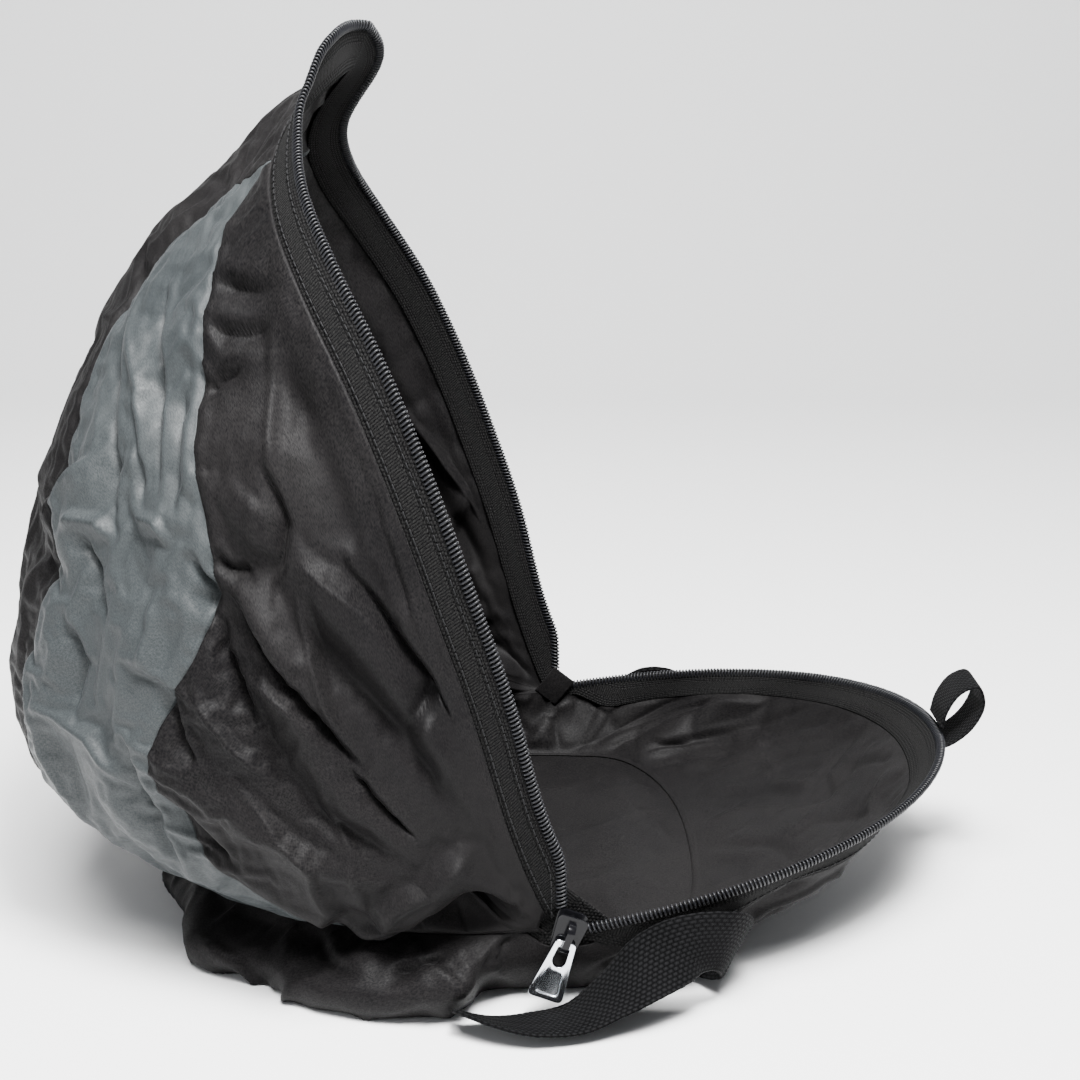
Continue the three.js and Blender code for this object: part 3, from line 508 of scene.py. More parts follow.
# crisp creases between flat facets: points (drop, share), reach to either side and height in mm
creases = [
    # black sides, from the hem down
    ([(0.012, 0.588), (0.018, 0.481), (0.024, 0.39), (0.04, 0.3), (0.06, 0.235)], 8, 3.2, -2.0),
    ([(0.122, 0.378), (0.085, 0.28), (0.062, 0.231), (0.21, 0.216)], 8, 3.5, -3.4),
    ([(0.185, 0.397), (0.118, 0.307), (0.095, 0.263)], 16, 8, 2.8),
    ([(0.028, 0.623), (0.135, 0.473), (0.17, 0.43)], 12, 5, 1.4),
    ([(0.115, 0.365), (0.05, 0.363)], 8, 4, 1.4),
    ([(0.08, 0.287), (0.02, 0.292)], 7, 4, 1.4),
    ([(0.15, 0.5), (0.143, 0.473), (0.155, 0.429), (0.198, 0.407), (0.24, 0.41)], 6, 3, -2.2),
    ([(0.17, 0.47), (0.23, 0.44)], 12, 12, 2.0),
    ([(0.275, 0.481), (0.27, 0.446), (0.242, 0.429)], 6, 3, -2.2),
    ([(0.092, 0.713), (0.05, 0.66), (0.012, 0.615)], 8, 4, -2.8),
    ([(0.12, 0.66), (0.08, 0.62), (0.04, 0.6)], 7, 4, -2.2),
    ([(0.165, 0.6), (0.135, 0.603), (0.1, 0.59)], 5, 3, -1.8),
    # the dark three-cornered tuck and the facets round it
    ([(0.193, 0.383), (0.26, 0.325), (0.333, 0.26)], 24, 5, 3.4),
    ([(0.28, 0.45), (0.3, 0.434), (0.323, 0.363), (0.328, 0.309), (0.345, 0.255), (0.367, 0.226)],
     10, 5, -3.6),
    ([(0.295, 0.498), (0.318, 0.454), (0.36, 0.456)], 6, 3, -2.6),
    ([(0.33, 0.441), (0.388, 0.395), (0.44, 0.343)], 7, 3.5, -2.2),
    ([(0.388, 0.397), (0.355, 0.324), (0.355, 0.258)], 14, 6, 2.6),
    ([(0.36, 0.25), (0.4, 0.2), (0.417, 0.155)], 10, 5, -2.0),
    ([(0.417, 0.282), (0.58, 0.215), (0.88, 0.193)], 24, 10, 2.6),
    ([(0.46, 0.43), (0.5, 0.36), (0.52, 0.3)], 12, 5, 2.0),
    ([(0.485, 0.456), (0.545, 0.429), (0.583, 0.395)], 7, 3.5, -2.2),
    ([(0.53, 0.39), (0.6, 0.31), (0.66, 0.255), (0.82, 0.243), (0.95, 0.3)], 22, 5, 3.2),
    ([(0.667, 0.454), (0.708, 0.405), (0.782, 0.341)], 12, 5, -2.4),
    # the flap's edge over the hollow by the slider
    ([(0.97, 0.33), (0.878, 0.191), (0.6, 0.13), (0.2, 0.1)], 22, 5, 5.0),
    ([(1.1, 0.3), (0.96, 0.2), (0.88, 0.12), (0.72, 0.085), (0.35, 0.055)], 18, 10, -10.0),
    # grey stripes
    ([(0.13, 0.8), (0.17, 0.748), (0.19, 0.686), (0.233, 0.628), (0.268, 0.591), (0.3, 0.557)], 9, 3.5, -2.2),
    ([(0.2, 0.82), (0.228, 0.782), (0.258, 0.735), (0.31, 0.664), (0.378, 0.606)], 9, 3.5, -2.2),
    ([(0.2, 0.831), (0.228, 0.689), (0.292, 0.625), (0.35, 0.581)], 9, 7, 1.8),
    ([(0.17, 0.647), (0.225, 0.581), (0.288, 0.534)], 9, 5, -1.8),
    ([(0.233, 0.699), (0.28, 0.625), (0.318, 0.584)], 6, 3, -1.6),
    ([(0.46, 0.77), (0.432, 0.757), (0.37, 0.726), (0.32, 0.69)], 9, 5, 2.6),
    ([(0.42, 0.7), (0.398, 0.681), (0.375, 0.64), (0.385, 0.601)], 8, 4, 2.4),
    ([(0.33, 0.6), (0.32, 0.576), (0.305, 0.549), (0.32, 0.525)], 6, 3, 2.4),
    ([(0.4, 0.68), (0.43, 0.62), (0.47, 0.57)], 7, 3.5, -2.2),
    ([(0.375, 0.52), (0.43, 0.5), (0.5, 0.49)], 12, 6, 2.4),
    ([(0.5, 0.667), (0.552, 0.608), (0.642, 0.598)], 10, 5, -2.2),
    ([(0.55, 0.72), (0.657, 0.679), (0.86, 0.615)], 18, 8, 1.8),
    ([(0.652, 0.696), (0.65, 0.557), (0.705, 0.471)], 12, 6, 1.8),
    ([(0.6, 0.5), (0.75, 0.46), (0.875, 0.446)], 12, 5, -1.9),
]


def tentHeight(lines, p, q):  # lines of (points, reach on one side, reach on the other, height), in mm
    height = np.zeros(np.broadcast(p, q).shape)
    for knots, wide, sharp, high in lines:
        steps = np.linalg.norm(np.diff(knots, axis=0), axis=-1)
        best = np.full(height.shape, 1e9)
        off = np.zeros(height.shape)
        run = np.zeros(height.shape)
        for i, (a, b) in enumerate(zip(knots[:-1], knots[1:])):
            d = (b - a) / steps[i]
            along = np.clip((p - a[0]) * d[0] + (q - a[1]) * d[1], 0, steps[i])
            dp = p - a[0] - along * d[0]
            dq = q - a[1] - along * d[1]
            away = np.hypot(dp, dq)
            near = away < best
            off = np.where(near, away * np.sign(d[0] * dq - d[1] * dp), off)
            run = np.where(near, steps[:i].sum() + along, run)
            best = np.where(near, away, best)
        whole = steps.sum()
        ends = smoothStep(run, 0, 0.3 * whole) * (1 - smoothStep(run, 0.7 * whole, whole))
        reach = np.where(off > 0, wide, sharp)
        tall = high * (hood["ridgeHeight"] if high > 0 else hood["valleyDepth"])
        fold = tall * np.maximum(0, 1 - best / reach) ** 1.25
        pinch = smoothStep(hood["pinchReach"] - best, 0, hood["pinchReach"])
        fold += math.copysign(hood["pinchDepth"], high) * pinch
        height += ends * fold
    return height


def creaseHeight(drop, share):
    size = np.array([hood["downLength"], hood["acrossLength"]])
    lines = [(np.array(line) * size, wide, sharp, high) for line, wide, sharp, high in creases]
    return tentHeight(lines, drop * size[0], share * size[1])


# small wrinkles of slack nylon: long ones down the grey stripe, crossing ones on the black sides
wrinkles = dict(stripe=0.5, side=0.3, centre=0.9, seamDip=0.8, seamPucker=0.4, hemPucker=0.6)


def wrinkleHeight(drop, station):
    share = nearShare(station)
    far = np.where(station > 1, 211.0, 0.0)
    p = drop * hood["downLength"]
    q = share * hood["acrossLength"] + far
    bend = cloudNoise(p / 70, q / 50, 11) * 9
    long = creaseNoise((q + bend) / 15, p / 85, 21) + 0.5 * creaseNoise((q - bend * 0.7) / 8, p / 55, 22)
    slant = creaseNoise((q + 0.55 * p + bend) / 22, (p - 0.55 * q) / 75, 31)
    cross = creaseNoise((q - 0.8 * p - bend) / 19, (p + 0.8 * q) / 60, 32)
    small = cloudNoise(p / 9, q / 7, 41) * 0.35
    seamSide = sideSeam(drop)
    seamMid = centreSeam(drop)
    onStripe = smoothStep(share, seamSide - 0.02, seamSide + 0.04)
    onStripe = onStripe * (1 - smoothStep(share, seamMid - 0.04, seamMid + 0.02))
    onCentre = smoothStep(share, seamMid - 0.02, seamMid + 0.03)
    onSide = 1 - smoothStep(share, seamSide - 0.05, seamSide + 0.01)
    busy = 0.35 + 0.65 * smoothStep(cloudNoise(p / 60, q / 60, 51), -0.3, 0.5)
    height = onStripe * wrinkles["stripe"] * long
    height = height + onSide * wrinkles["side"] * busy * (0.6 * slant + 0.5 * cross + small)
    height += onCentre * wrinkles["centre"] * (0.6 * long + 0.5 * cross)
    for seam, seed in ((seamSide, 61), (seamMid, 62)):
        away = (share - seam) * hood["acrossLength"]
        pucker = creaseNoise(p / 7.5, away / 40 + far / 50, seed) * np.exp(-(away / 13) ** 2)
        dip = np.exp(-(away / 2.2) ** 2)
        held = smoothStep(drop, 0.04, 0.1)
        height += held * (wrinkles["seamPucker"] * pucker - wrinkles["seamDip"] * dip)
    hem = creaseNoise(q / 8, p / 60, 71) * np.exp(-(p / 22) ** 2)
    height += wrinkles["hemPucker"] * hem * smoothStep(p, 1.5, 8)
    return height


def hoodPoint(drop, station):
    share = nearShare(station)
    hold = smoothStep(drop, 0, 0.08) * smoothStep(1 - drop, 0, 0.06)
    ease = hold * smoothStep(share, 0.05, 0.2)
    fine = smoothStep(drop, 0, 0.02) * smoothStep(1 - drop, 0, 0.03) * smoothStep(share, 0.03, 0.12)
    normal = hoodNormal(drop, station)
    high = ease * foldHeight(drop, share) * hood["softFolds"] + fine * wrinkleHeight(drop, station)
    far = station > 1  # the far side falls in its own folds
    sharp = creaseHeight(np.where(far, 0.9 * drop + 0.06 * share, drop), share)
    high += smoothStep(share, 0.02, 0.08) * hold * sharp * np.where(far, 0.8, 1.0)
    return smoothHood(drop, station) + normal * high[..., None]


# slack: the cloth is cut larger than the shape it hangs in, so it crumples as it settles
slack = dict(spacing=2.7, frames=22, extra=0.05, quality=6, tension=12, shear=4, bending=0.02, grip=0.42,
             seamGrip=0.72, gravity=0.15, mass=0.02, air=2.0, limit=7.0, startShare=0.03)


def slackLines():
    fine = np.linspace(slack["startShare"], 2 - slack["startShare"], 801)
    middle = smoothHood(np.full_like(fine, 0.4), fine)
    run = runAlong(middle)
    stations = np.interp(np.linspace(0, run[-1], int(run[-1] / slack["spacing"])), run, fine)
    drops = np.linspace(0, 1, 81)
    lines = smoothHood(np.broadcast_to(drops, (len(stations), 81)), stations[:, None])
    length = np.linalg.norm(np.diff(lines, axis=1), axis=-1).sum(axis=1)
    return stations, np.maximum(5, np.round(length / slack["spacing"])).astype(int)


def zipRows(first, countA, second, countB):  # triangles between two rows of evenly spaced points
    faces = []
    i = j = 0
    while i < countA - 1 or j < countB - 1:
        if j == countB - 1 or (i < countA - 1 and (i + 1) * (countB - 1) <= (j + 1) * (countA - 1)):
            faces.append((first + i, first + i + 1, second + j))
            i += 1
        else:
            faces.append((first + i, second + j + 1, second + j))
            j += 1
    return faces


def settleHood():
    stations, counts = slackLines()
    starts = np.concatenate([[0], np.cumsum(counts)])
    drop = np.concatenate([np.linspace(0, 1, c) for c in counts])
    station = np.repeat(stations, counts)
    shape = hoodPoint(drop, station)
    faces = []
    for i in range(len(stations) - 1):
        faces += zipRows(starts[i], counts[i], starts[i + 1], counts[i + 1])
    mesh = bpy.data.meshes.new("slackCloth")
    mesh.from_pydata(toFrame(shape).tolist(), [], faces)
    cloth = linkObject("slackCloth", mesh)
    share = nearShare(station)
    across = hood["acrossLength"]
    seam = np.minimum(np.abs(share - sideSeam(drop)), np.abs(share - centreSeam(drop))) * across
    grip = np.where((seam < slack["spacing"] * 0.6) & (drop > 0.05), slack["seamGrip"], slack["grip"])
    held = (drop < 1e-6) | (drop > 1 - 1e-6) | (station < stations[1]) | (station > stations[-2])
    grip[held] = 1.0
    group = cloth.vertex_groups.new(name="held")
    for weight in np.unique(grip):
        group.add(np.flatnonzero(grip == weight).tolist(), float(weight), "REPLACE")
    seamSide = sideSeam(drop)
    seamMid = centreSeam(drop)
    stripe = smoothStep(share, seamSide, seamSide + 0.05) * (1 - smoothStep(share, seamMid - 0.05, seamMid))
    centre = smoothStep(share, seamMid, seamMid + 0.03)
    lower = smoothStep(drop, 0.1, 0.35) * (1 - stripe) * (1 - centre)
    ease = 0.1 + 0.22 * stripe + 0.3 * centre + 0.22 * lower + 0.5 * np.exp(-(seam / 10) ** 2)
    taut = cloth.vertex_groups.new(name="taut")  # weight 0 has all the extra cloth, 1 none
    for i, weight in enumerate(np.clip(1 - ease, 0, 1)):
        taut.add([i], float(weight), "REPLACE")
    modifier = cloth.modifiers.new("settle", "CLOTH")
    settings = modifier.settings
    settings.quality = slack["quality"]
    settings.mass = slack["mass"]
    settings.air_damping = slack["air"]
    settings.tension_stiffness = settings.compression_stiffness = slack["tension"]
    settings.shear_stiffness = slack["shear"]
    settings.bending_stiffness = slack["bending"]
    settings.vertex_group_shrink = "taut"
    settings.shrink_min = -slack["extra"]
    settings.shrink_max = 0.0
    settings.vertex_group_mass = "held"
    settings.pin_stiffness = 1.0
    settings.effector_weights.gravity = slack["gravity"]
    modifier.collision_settings.use_collision = False
    modifier.point_cache.frame_end = slack["frames"]
    scene = bpy.context.scene
    for at in range(1, slack["frames"] + 1):
        scene.frame_set(at)
    graph = bpy.context.evaluated_depsgraph_get()
    settled = cloth.evaluated_get(graph).to_mesh()
    flat = np.empty(len(settled.vertices) * 3)
    settled.vertices.foreach_get("co", flat)
    moved = flat.reshape(-1, 3) * 1000
    moved[:, 0] -= shiftX
    moved -= shape
    bpy.data.objects.remove(cloth)
    scene.frame_set(1)
    size = np.linalg.norm(moved, axis=-1, keepdims=True)
    print("slack cloth settled", len(moved), "points, moved", size.mean().round(2), size.max().round(2))
    moved *= slack["limit"] * np.tanh(size / slack["limit"]) / np.maximum(size, 1e-6)
    return stations, counts, starts, moved


settled = settleHood()


def cubicWeights(t):
    return np.stack([-0.5 * t ** 3 + t ** 2 - 0.5 * t, 1.5 * t ** 3 - 2.5 * t ** 2 + 1,
                     -1.5 * t ** 3 + 2 * t ** 2 + 0.5 * t, 0.5 * t ** 3 - 0.5 * t ** 2], axis=0)


def settledMove(drop, station):  # how far the settled cloth lies from the plain shape
    if settled is None:
        return np.zeros(np.shape(drop) + (3,))
    stations, counts, starts, moved = settled
    at = np.clip(np.interp(station, stations, np.arange(len(stations))), 0, len(stations) - 1.001)
    line = at.astype(int)
    lineWeights = cubicWeights(at - line)
    out = np.zeros(np.shape(drop) + (3,))
    for m in range(4):
        row = np.clip(line + m - 1, 0, len(stations) - 1)
        along = np.clip(drop, 0, 1) * (counts[row] - 1)
        step = np.minimum(along.astype(int), counts[row] - 2)
        stepWeights = cubicWeights(along - step)
        for n in range(4):
            index = starts[row] + np.clip(step + n - 1, 0, counts[row] - 1)
            out += (lineWeights[m] * stepWeights[n])[..., None] * moved[index]
    return out


def clothCoordinates(points):  # lengths along the net, in mm, for the weave
    down = np.linalg.norm(np.diff(points, axis=0), axis=-1).mean(axis=1)
    across = np.linalg.norm(np.diff(points, axis=1), axis=-1).mean(axis=0)
    v = np.concatenate([[0], np.cumsum(down)])
    u = np.concatenate([[0], np.cumsum(across)])
    return np.stack(np.broadcast_arrays(u[None, :], v[:, None]), axis=-1)


def hoodPanel(name, node, fromSeam, toSeam, firstDrop, cut):
    columns = cut["columns"]
    drops = np.linspace(firstDrop, 1.004, hood["rows"])
    steps = np.linspace(0, 1, columns + 1)
    start = fromSeam(drops)[:, None]
    end = toSeam(drops)[:, None]
    station = start + (end - start) * steps[None, :]
    drop = np.broadcast_to(drops[:, None], station.shape)
    points = hoodPoint(drop, station) + settledMove(drop, station)
    piece = netObject(name, points, clothCoordinates(points), cut["finish"], hoodNormal(drop, station))
    addThickness(piece, hood["cloth"] * 0.001)
    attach(piece, body)
    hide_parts(node)
    return piece


# how each kind of panel is cut: flat size and area in metres, columns of its net
hoodCuts = dict(
    side=dict(flat=(0.16, 0.22), area=0.0195, columns=136, finish=blackNylon, slot="black_cloth"),
    stripe=dict(flat=(0.10, 0.30), area=0.0193, columns=84, finish=greyNylon, slot="grey_cloth"),
    centre=dict(flat=(0.13, 0.36), area=0.0334, columns=104, finish=blackNylon, slot="black_cloth"),
)


def makeHood():
    zipEnd = lambda d: np.full_like(d, hood["zipEnd"])
    farEnd = lambda d: np.full_like(d, 2 - hood["farEnd"])
    farSide = lambda d: 2 - sideSeam(d)
    farCentre = lambda d: 2 - centreSeam(d)
    hem = hood["hemDrop"]
    tip = hood["stripeTip"]
    hoodPanel("hoodSideNear", "hood_side_near", zipEnd, sideSeam, hem, hoodCuts["side"])
    hoodPanel("hoodSideFar", "hood_side_far", farSide, farEnd, hem, hoodCuts["side"])
    hoodPanel("hoodStripeNear", "hood_stripe_near", sideSeam, centreSeam, tip, hoodCuts["stripe"])
    hoodPanel("hoodStripeFar", "hood_stripe_far", farCentre, farSide, tip, hoodCuts["stripe"])
    hoodPanel("hoodCentre", "hood_centre", centreSeam, farCentre, hem, hoodCuts["centre"])


makeHood()
print("hood made")


# what repeats along a path: zip teeth and stitches
def pathTree():
    tree = bpy.data.node_groups.new("repeatAlongPath", "GeometryNodeTree")
    tree.interface.new_socket("Geometry", in_out="INPUT", socket_type="NodeSocketGeometry")
    inputs = dict(Motif="NodeSocketObject", Pitch="NodeSocketFloat", Uneven="NodeSocketFloat",
                  Seed="NodeSocketInt", Finish="NodeSocketMaterial")
    for label, kind in inputs.items():
        tree.interface.new_socket(label, in_out="INPUT", socket_type=kind)
    tree.interface.new_socket("Geometry", in_out="OUTPUT", socket_type="NodeSocketGeometry")

    def node(kind, settings=None, sockets=None):
        made = tree.nodes.new(kind)
        for key, value in (settings or {}).items():
            setattr(made, key, value)
        for key, value in (sockets or {}).items():
            if isinstance(value, bpy.types.NodeSocket):
                tree.links.new(value, made.inputs[key])
            else:
                made.inputs[key].default_value = value
        return made

    given = node("NodeGroupInput").outputs
    path = node("GeometryNodeMeshToCurve", None, {"Mesh": given["Geometry"]})
    even = node("GeometryNodeResampleCurve", {"mode": "LENGTH"},
                {"Curve": path.outputs[0], "Length": given["Pitch"]})
    outward = node("GeometryNodeInputNamedAttribute", {"data_type": "FLOAT_VECTOR"}, {"Name": "outward"})
    tangent = node("GeometryNodeInputTangent")
    turn = node("FunctionNodeAxesToRotation", {"primary_axis": "Z", "secondary_axis": "X"},
                {"Primary Axis": tangent.outputs[0], "Secondary Axis": outward.outputs[0]})
    lowest = node("ShaderNodeMath", {"operation": "SUBTRACT"}, {0: 1.0, 1: given["Uneven"]})
    highest = node("ShaderNodeMath", {"operation": "ADD"}, {0: 1.0, 1: given["Uneven"]})
    scale = node("FunctionNodeRandomValue", {"data_type": "FLOAT"},
                 {2: lowest.outputs[0], 3: highest.outputs[0], "Seed": given["Seed"]})
    shape = node("GeometryNodeObjectInfo", None, {"Object": given["Motif"]})
    placed = node("GeometryNodeInstanceOnPoints", None,
                  {"Points": even.outputs[0], "Instance": shape.outputs["Geometry"],
                   "Rotation": turn.outputs[0], "Scale": scale.outputs[1]})
    real = node("GeometryNodeRealizeInstances", None, {"Geometry": placed.outputs[0]})
    dressed = node("GeometryNodeSetMaterial", None,
                   {"Geometry": real.outputs[0], "Material": given["Finish"]})
    node("NodeGroupOutput", None, {"Geometry": dressed.outputs[0]})
    return tree


repeatAlongPath = pathTree()


def repeatPiece(name, points, outward, motif, pitch, uneven, seed, material):
    flat = toFrame(points)
    mesh = bpy.data.meshes.new(name)
    count = len(flat)
    mesh.from_pydata(flat.tolist(), [(i, i + 1) for i in range(count - 1)], [])
    away = mesh.attributes.new("outward", "FLOAT_VECTOR", "POINT")
    away.data.foreach_set("vector", np.asarray(outward, np.float32).ravel())
    piece = linkObject(name, mesh)
    modifier = piece.modifiers.new("repeat", "NODES")
    modifier.node_group = repeatAlongPath
    values = {"Motif": motif, "Pitch": pitch * 0.001, "Uneven": uneven, "Seed": seed, "Finish": material}
    for item in repeatAlongPath.interface.items_tree:
        if item.in_out == "INPUT" and item.name in values:
            modifier[item.identifier] = values[item.name]
    applyModifiers(piece)
    piece.data.polygons.foreach_set("use_smooth", np.ones(len(piece.data.polygons), dtype=bool))
    return piece


def motifObject(name, points, faces):
    mesh = bpy.data.meshes.new(name)
    mesh.from_pydata((np.array(points) * 0.001).tolist(), [], faces)
    mesh.update()
    made = linkObject(name, mesh)
    made.hide_render = True
    return made


def tubePoints(centres, radius, sides, closed):  # a bent wire as points and faces
    centres = np.array(centres, float)
    count = len(centres)
    ahead = np.roll(centres, -1, axis=0) - np.roll(centres, 1, axis=0)
    if not closed:
        ahead[0] = centres[1] - centres[0]
        ahead[-1] = centres[-1] - centres[-2]
    ahead = unit(ahead)
    helper = np.array([0.0, 0.0, 1.0]) if np.abs(ahead[:, 2]).max() < 0.95 else np.array([0.31, 0.9, 0.2])
    side = unit(np.cross(ahead, helper))
    rise = np.cross(side, ahead)
    turn = np.arange(sides) * 2 * math.pi / sides
    cos, sin = np.cos(turn)[None, :, None], np.sin(turn)[None, :, None]
    points = centres[:, None] + radius * (cos * side[:, None] + sin * rise[:, None])
    faces = []
    for i in range(count if closed else count - 1):
        for k in range(sides):
            a = i * sides
            b = (i + 1) % count * sides
            m = (k + 1) % sides
            faces.append((a + k, a + m, b + m, b + k))
    if not closed:
        faces.append(tuple(range(sides))[::-1])
        faces.append(tuple((count - 1) * sides + k for k in range(sides)))
    return points.reshape(-1, 3), faces


# motifs: z runs along the path, x away from the tape's face
coilTooth = dict(wide=1.55, high=1.0, wire=0.36, pitch=1.35, lean=0.35, uneven=0.03)


def makeTooth():
    turn = np.arange(10) * 2 * math.pi / 10
    wide, lean = coilTooth["wide"] * np.sin(turn), coilTooth["lean"] * np.sin(turn)
    ring = np.stack([coilTooth["high"] * np.cos(turn), wide, lean], axis=-1)
    points, faces = tubePoints(ring, coilTooth["wire"], 5, True)
    return motifObject("coilTooth", points, faces)


stitchShape = dict(long=2.0, wire=0.2, rise=0.16, pitch=2.7, lift=0.45, uneven=0.08)


def makeStitch():
    t = np.linspace(-1, 1, 6)
    line = np.stack([stitchShape["rise"] * (1 - t ** 2) - 0.1, 0 * t, t * stitchShape["long"] / 2], axis=-1)
    points, faces = tubePoints(line, stitchShape["wire"], 5, False)
    return motifObject("stitch", points, faces)


tooth = makeTooth()
stitch = makeStitch()


def coilRow(name, line, normal, seed):
    return repeatPiece(name, line, normal, tooth, coilTooth["pitch"], coilTooth["uneven"], seed, coilFinish)


def stitchRow(name, line, normal, seed):  # stitches lie on the cloth
    raised = line + normal * stitchShape["lift"]
    return repeatPiece(name, raised, normal, stitch, stitchShape["pitch"], stitchShape["uneven"], seed,
                       threadFinish)


# zip: a tape carries the cloth on from the hem, the coil sits along its free edge
zipSizes = dict(tapeWidth=12.5, tapeThick=0.8, leastTape=3.1, overlap=1.2, tuck=0.75, tuckBack=1.6,
                crownFall=(0.93, 0, -0.37), hemStitch=2.2, edgeStitch=4.2, baseStitch=2.4,
                nearStart=0.0125, steps=420, baseSteps=300, columns=10)
coilCordSize = (1.15, 0.6)  # half width and half height inside the teeth, mm
coilReach = coilCordSize[0] - 0.1  # the tape ends just inside the cord
tapeWaves = dict(  # slow waves along the tapes, high in mm
    hood=dict(high=0.5, turn=0.09, cell=26, seed=81),
    base=dict(high=0.4, turn=0.11, cell=20, seed=82),
)


def bandPiece(name, first, second, normals, wave):  # zip tape between two lines
    columns = zipSizes["columns"]
    steps = np.linspace(0, 1, columns + 1)
    points = first[:, None] + (second - first)[:, None] * steps[None, :, None]
    row = np.arange(len(first))[:, None]
    share = steps[None, :]
    rise = wave["high"] * np.sin(row * wave["turn"]) * np.sin(share * math.pi)
    rise = rise * cloudNoise(row / wave["cell"], share + 0.0 * row, wave["seed"])
    points = points + normals[:, None] * rise[..., None]
    run = runAlong(points[:, columns // 2])
    wide = np.linalg.norm(second - first, axis=-1)
    uv = np.stack(np.broadcast_arrays(run[:, None], wide[:, None] * steps[None, :]), axis=-1)
    piece = netObject(name, points, uv, zipTapeFinish, np.broadcast_to(normals[:, None], points.shape))
    addThickness(piece, zipSizes["tapeThick"] * 0.001)
    return piece


def hoodZipLines():
    station = np.linspace(zipSizes["nearStart"], 2 - hood["farEnd"], zipSizes["steps"])
    share = nearShare(station)
    step = hood["slopeStep"]
    at = np.clip(station, hood["slopeFrom"], 2 - hood["slopeFrom"])
    forward = unit(smoothHood(-step, at) - smoothHood(step, at))
    stand = readRows(crownCurl, "station", "stand", station)[:, None]
    fall = readRows(crownCurl, "station", "fall", station)[:, None]
    forward = unit(forward * (1 - stand) + hoodNormal(np.zeros_like(at), at) * stand)
    forward = unit(forward * (1 - fall) + np.array(zipSizes["crownFall"]) * fall)
    along = smoothHood(0.0, at + step) - smoothHood(0.0, at - step)
    hem = smoothHood(0.001, station)
    width = np.minimum(readRows(hoodHem, "share", "tape", share), zipSizes["tapeWidth"])[:, None]
    normal = unit(np.cross(along, -forward))
    return hem, forward, width, normal


def coilCord(name, line, normal):  # the filler cord the coil is wound round
    along = unit(np.gradient(line, axis=0))
    side = unit(np.cross(along, normal))
    turn = np.arange(8) * math.pi / 4
    place = np.arange(len(line))
    slim = np.minimum(1, np.minimum(place, place[::-1]) / 2 + 0.01)[None, :, None]  # closed at both ends
    cos, sin = np.cos(turn)[:, None, None], np.sin(turn)[:, None, None]
    cross = cos * side * coilCordSize[0] + sin * normal * coilCordSize[1]
    points = line + cross * slim
    uv = np.stack(np.broadcast_arrays(np.arange(8)[:, None] * 0.7, place * 1.5), axis=-1)
    piece = netObject(name, points, uv, zipTapeFinish, cross, ring=True)
    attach(piece, body)


def makeHoodZip():
    hem, forward, width, normal = hoodZipLines()
    tuck = hem - forward * zipSizes["tuckBack"] - normal * zipSizes["tuck"]
    tape = bandPiece("hoodZipTape", tuck, hem + forward * (width - coilReach), normal, tapeWaves["hood"])
    coilLine = hem + forward * width
    coil = coilRow("hoodZipCoil", coilLine, normal, 5)
    coilCord("hoodCoilCord", coilLine, normal)
    seam = stitchRow("hoodHemStitch", hem + forward * zipSizes["hemStitch"], normal, 6)
    second = stitchRow("hoodTapeStitch", hem + forward * (width - zipSizes["edgeStitch"]), normal, 7)
    for piece, node, slot in ((tape, "hood_zip_tape", "zip_tape"), (coil, "hood_zip_coil", "zip_coil")):
        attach(piece, body)
        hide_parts(node)
    for piece in (seam, second):
        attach(piece, body)


makeHoodZip()
print("hood zip made")

# base: wall strip round the back panel, slumped into a roll at the closed end
base = dict(edgeReach=138, edgeAngle=10, edgeHalf=109, footClosed=114, footOpen=52, footHalf=97,
            closedPower=0.69, openPower=0.85, lift=2.6, lip=2.4, leastHeight=0.35, cloth=0.55,
            closedSteps=340, openSteps=240, columns=56)
panel = dict(rings=46, closedSteps=120, openSteps=90, hubX=-15, cloth=0.55)
closedRoll = dict(
    share=[0, 0.05, 0.065, 0.085, 0.11, 0.15, 0.22, 0.32, 0.6, 0.8, 1],
    out=[3, 5, 8, 18, 21, 23, 21, 19, 18, 13, 11],
    high=[0.55, 0.52, 0.5, 0.47, 0.45, 0.43, 0.41, 0.4, 0.4, 0.44, 0.45],
    toe=[2, 3, 6, 16, 19, 21, 20, 17, 15, 10, 8],
    lift=[2.4, 1, 0.5, 0, 0, 0, 0, 0, 0, 0, 0],
)
openRoll = dict(
    share=[0, 0.2, 0.34, 0.5, 0.75, 1],
    out=[3, 4, 5, 10, 14, 13],
    high=[0.55, 0.5, 0.48, 0.44, 0.4, 0.4],
    toe=[2, 3, 4, 7.5, 10.5, 10],
    lift=[2.4, 2.6, 2.8, 3.2, 3.8, 4],
)
wallFolds = [(0.12, 0.05, -2.5), (0.27, 0.06, 3), (0.42, 0.06, -3.5), (0.55, 0.07, 3), (0.7, 0.06, -3),
             (0.86, 0.07, 2.5)]


def panelHeight(x):
    return 0.6 + base["lift"] * smoothStep(x, 22, 48)


def footPoint(station, side):
    turn = station * math.pi / 2
    power = base["closedPower"] if side < 0 else base["openPower"]
    reach = base["footClosed"] if side < 0 else base["footOpen"]
    x = hood["axisX"] + side * reach * np.maximum(np.sin(turn), 0) ** power
    y = -base["footHalf"] * np.sign(np.cos(turn)) * np.abs(np.cos(turn)) ** power
    return np.stack([x, y, panelHeight(x)], axis=-1)


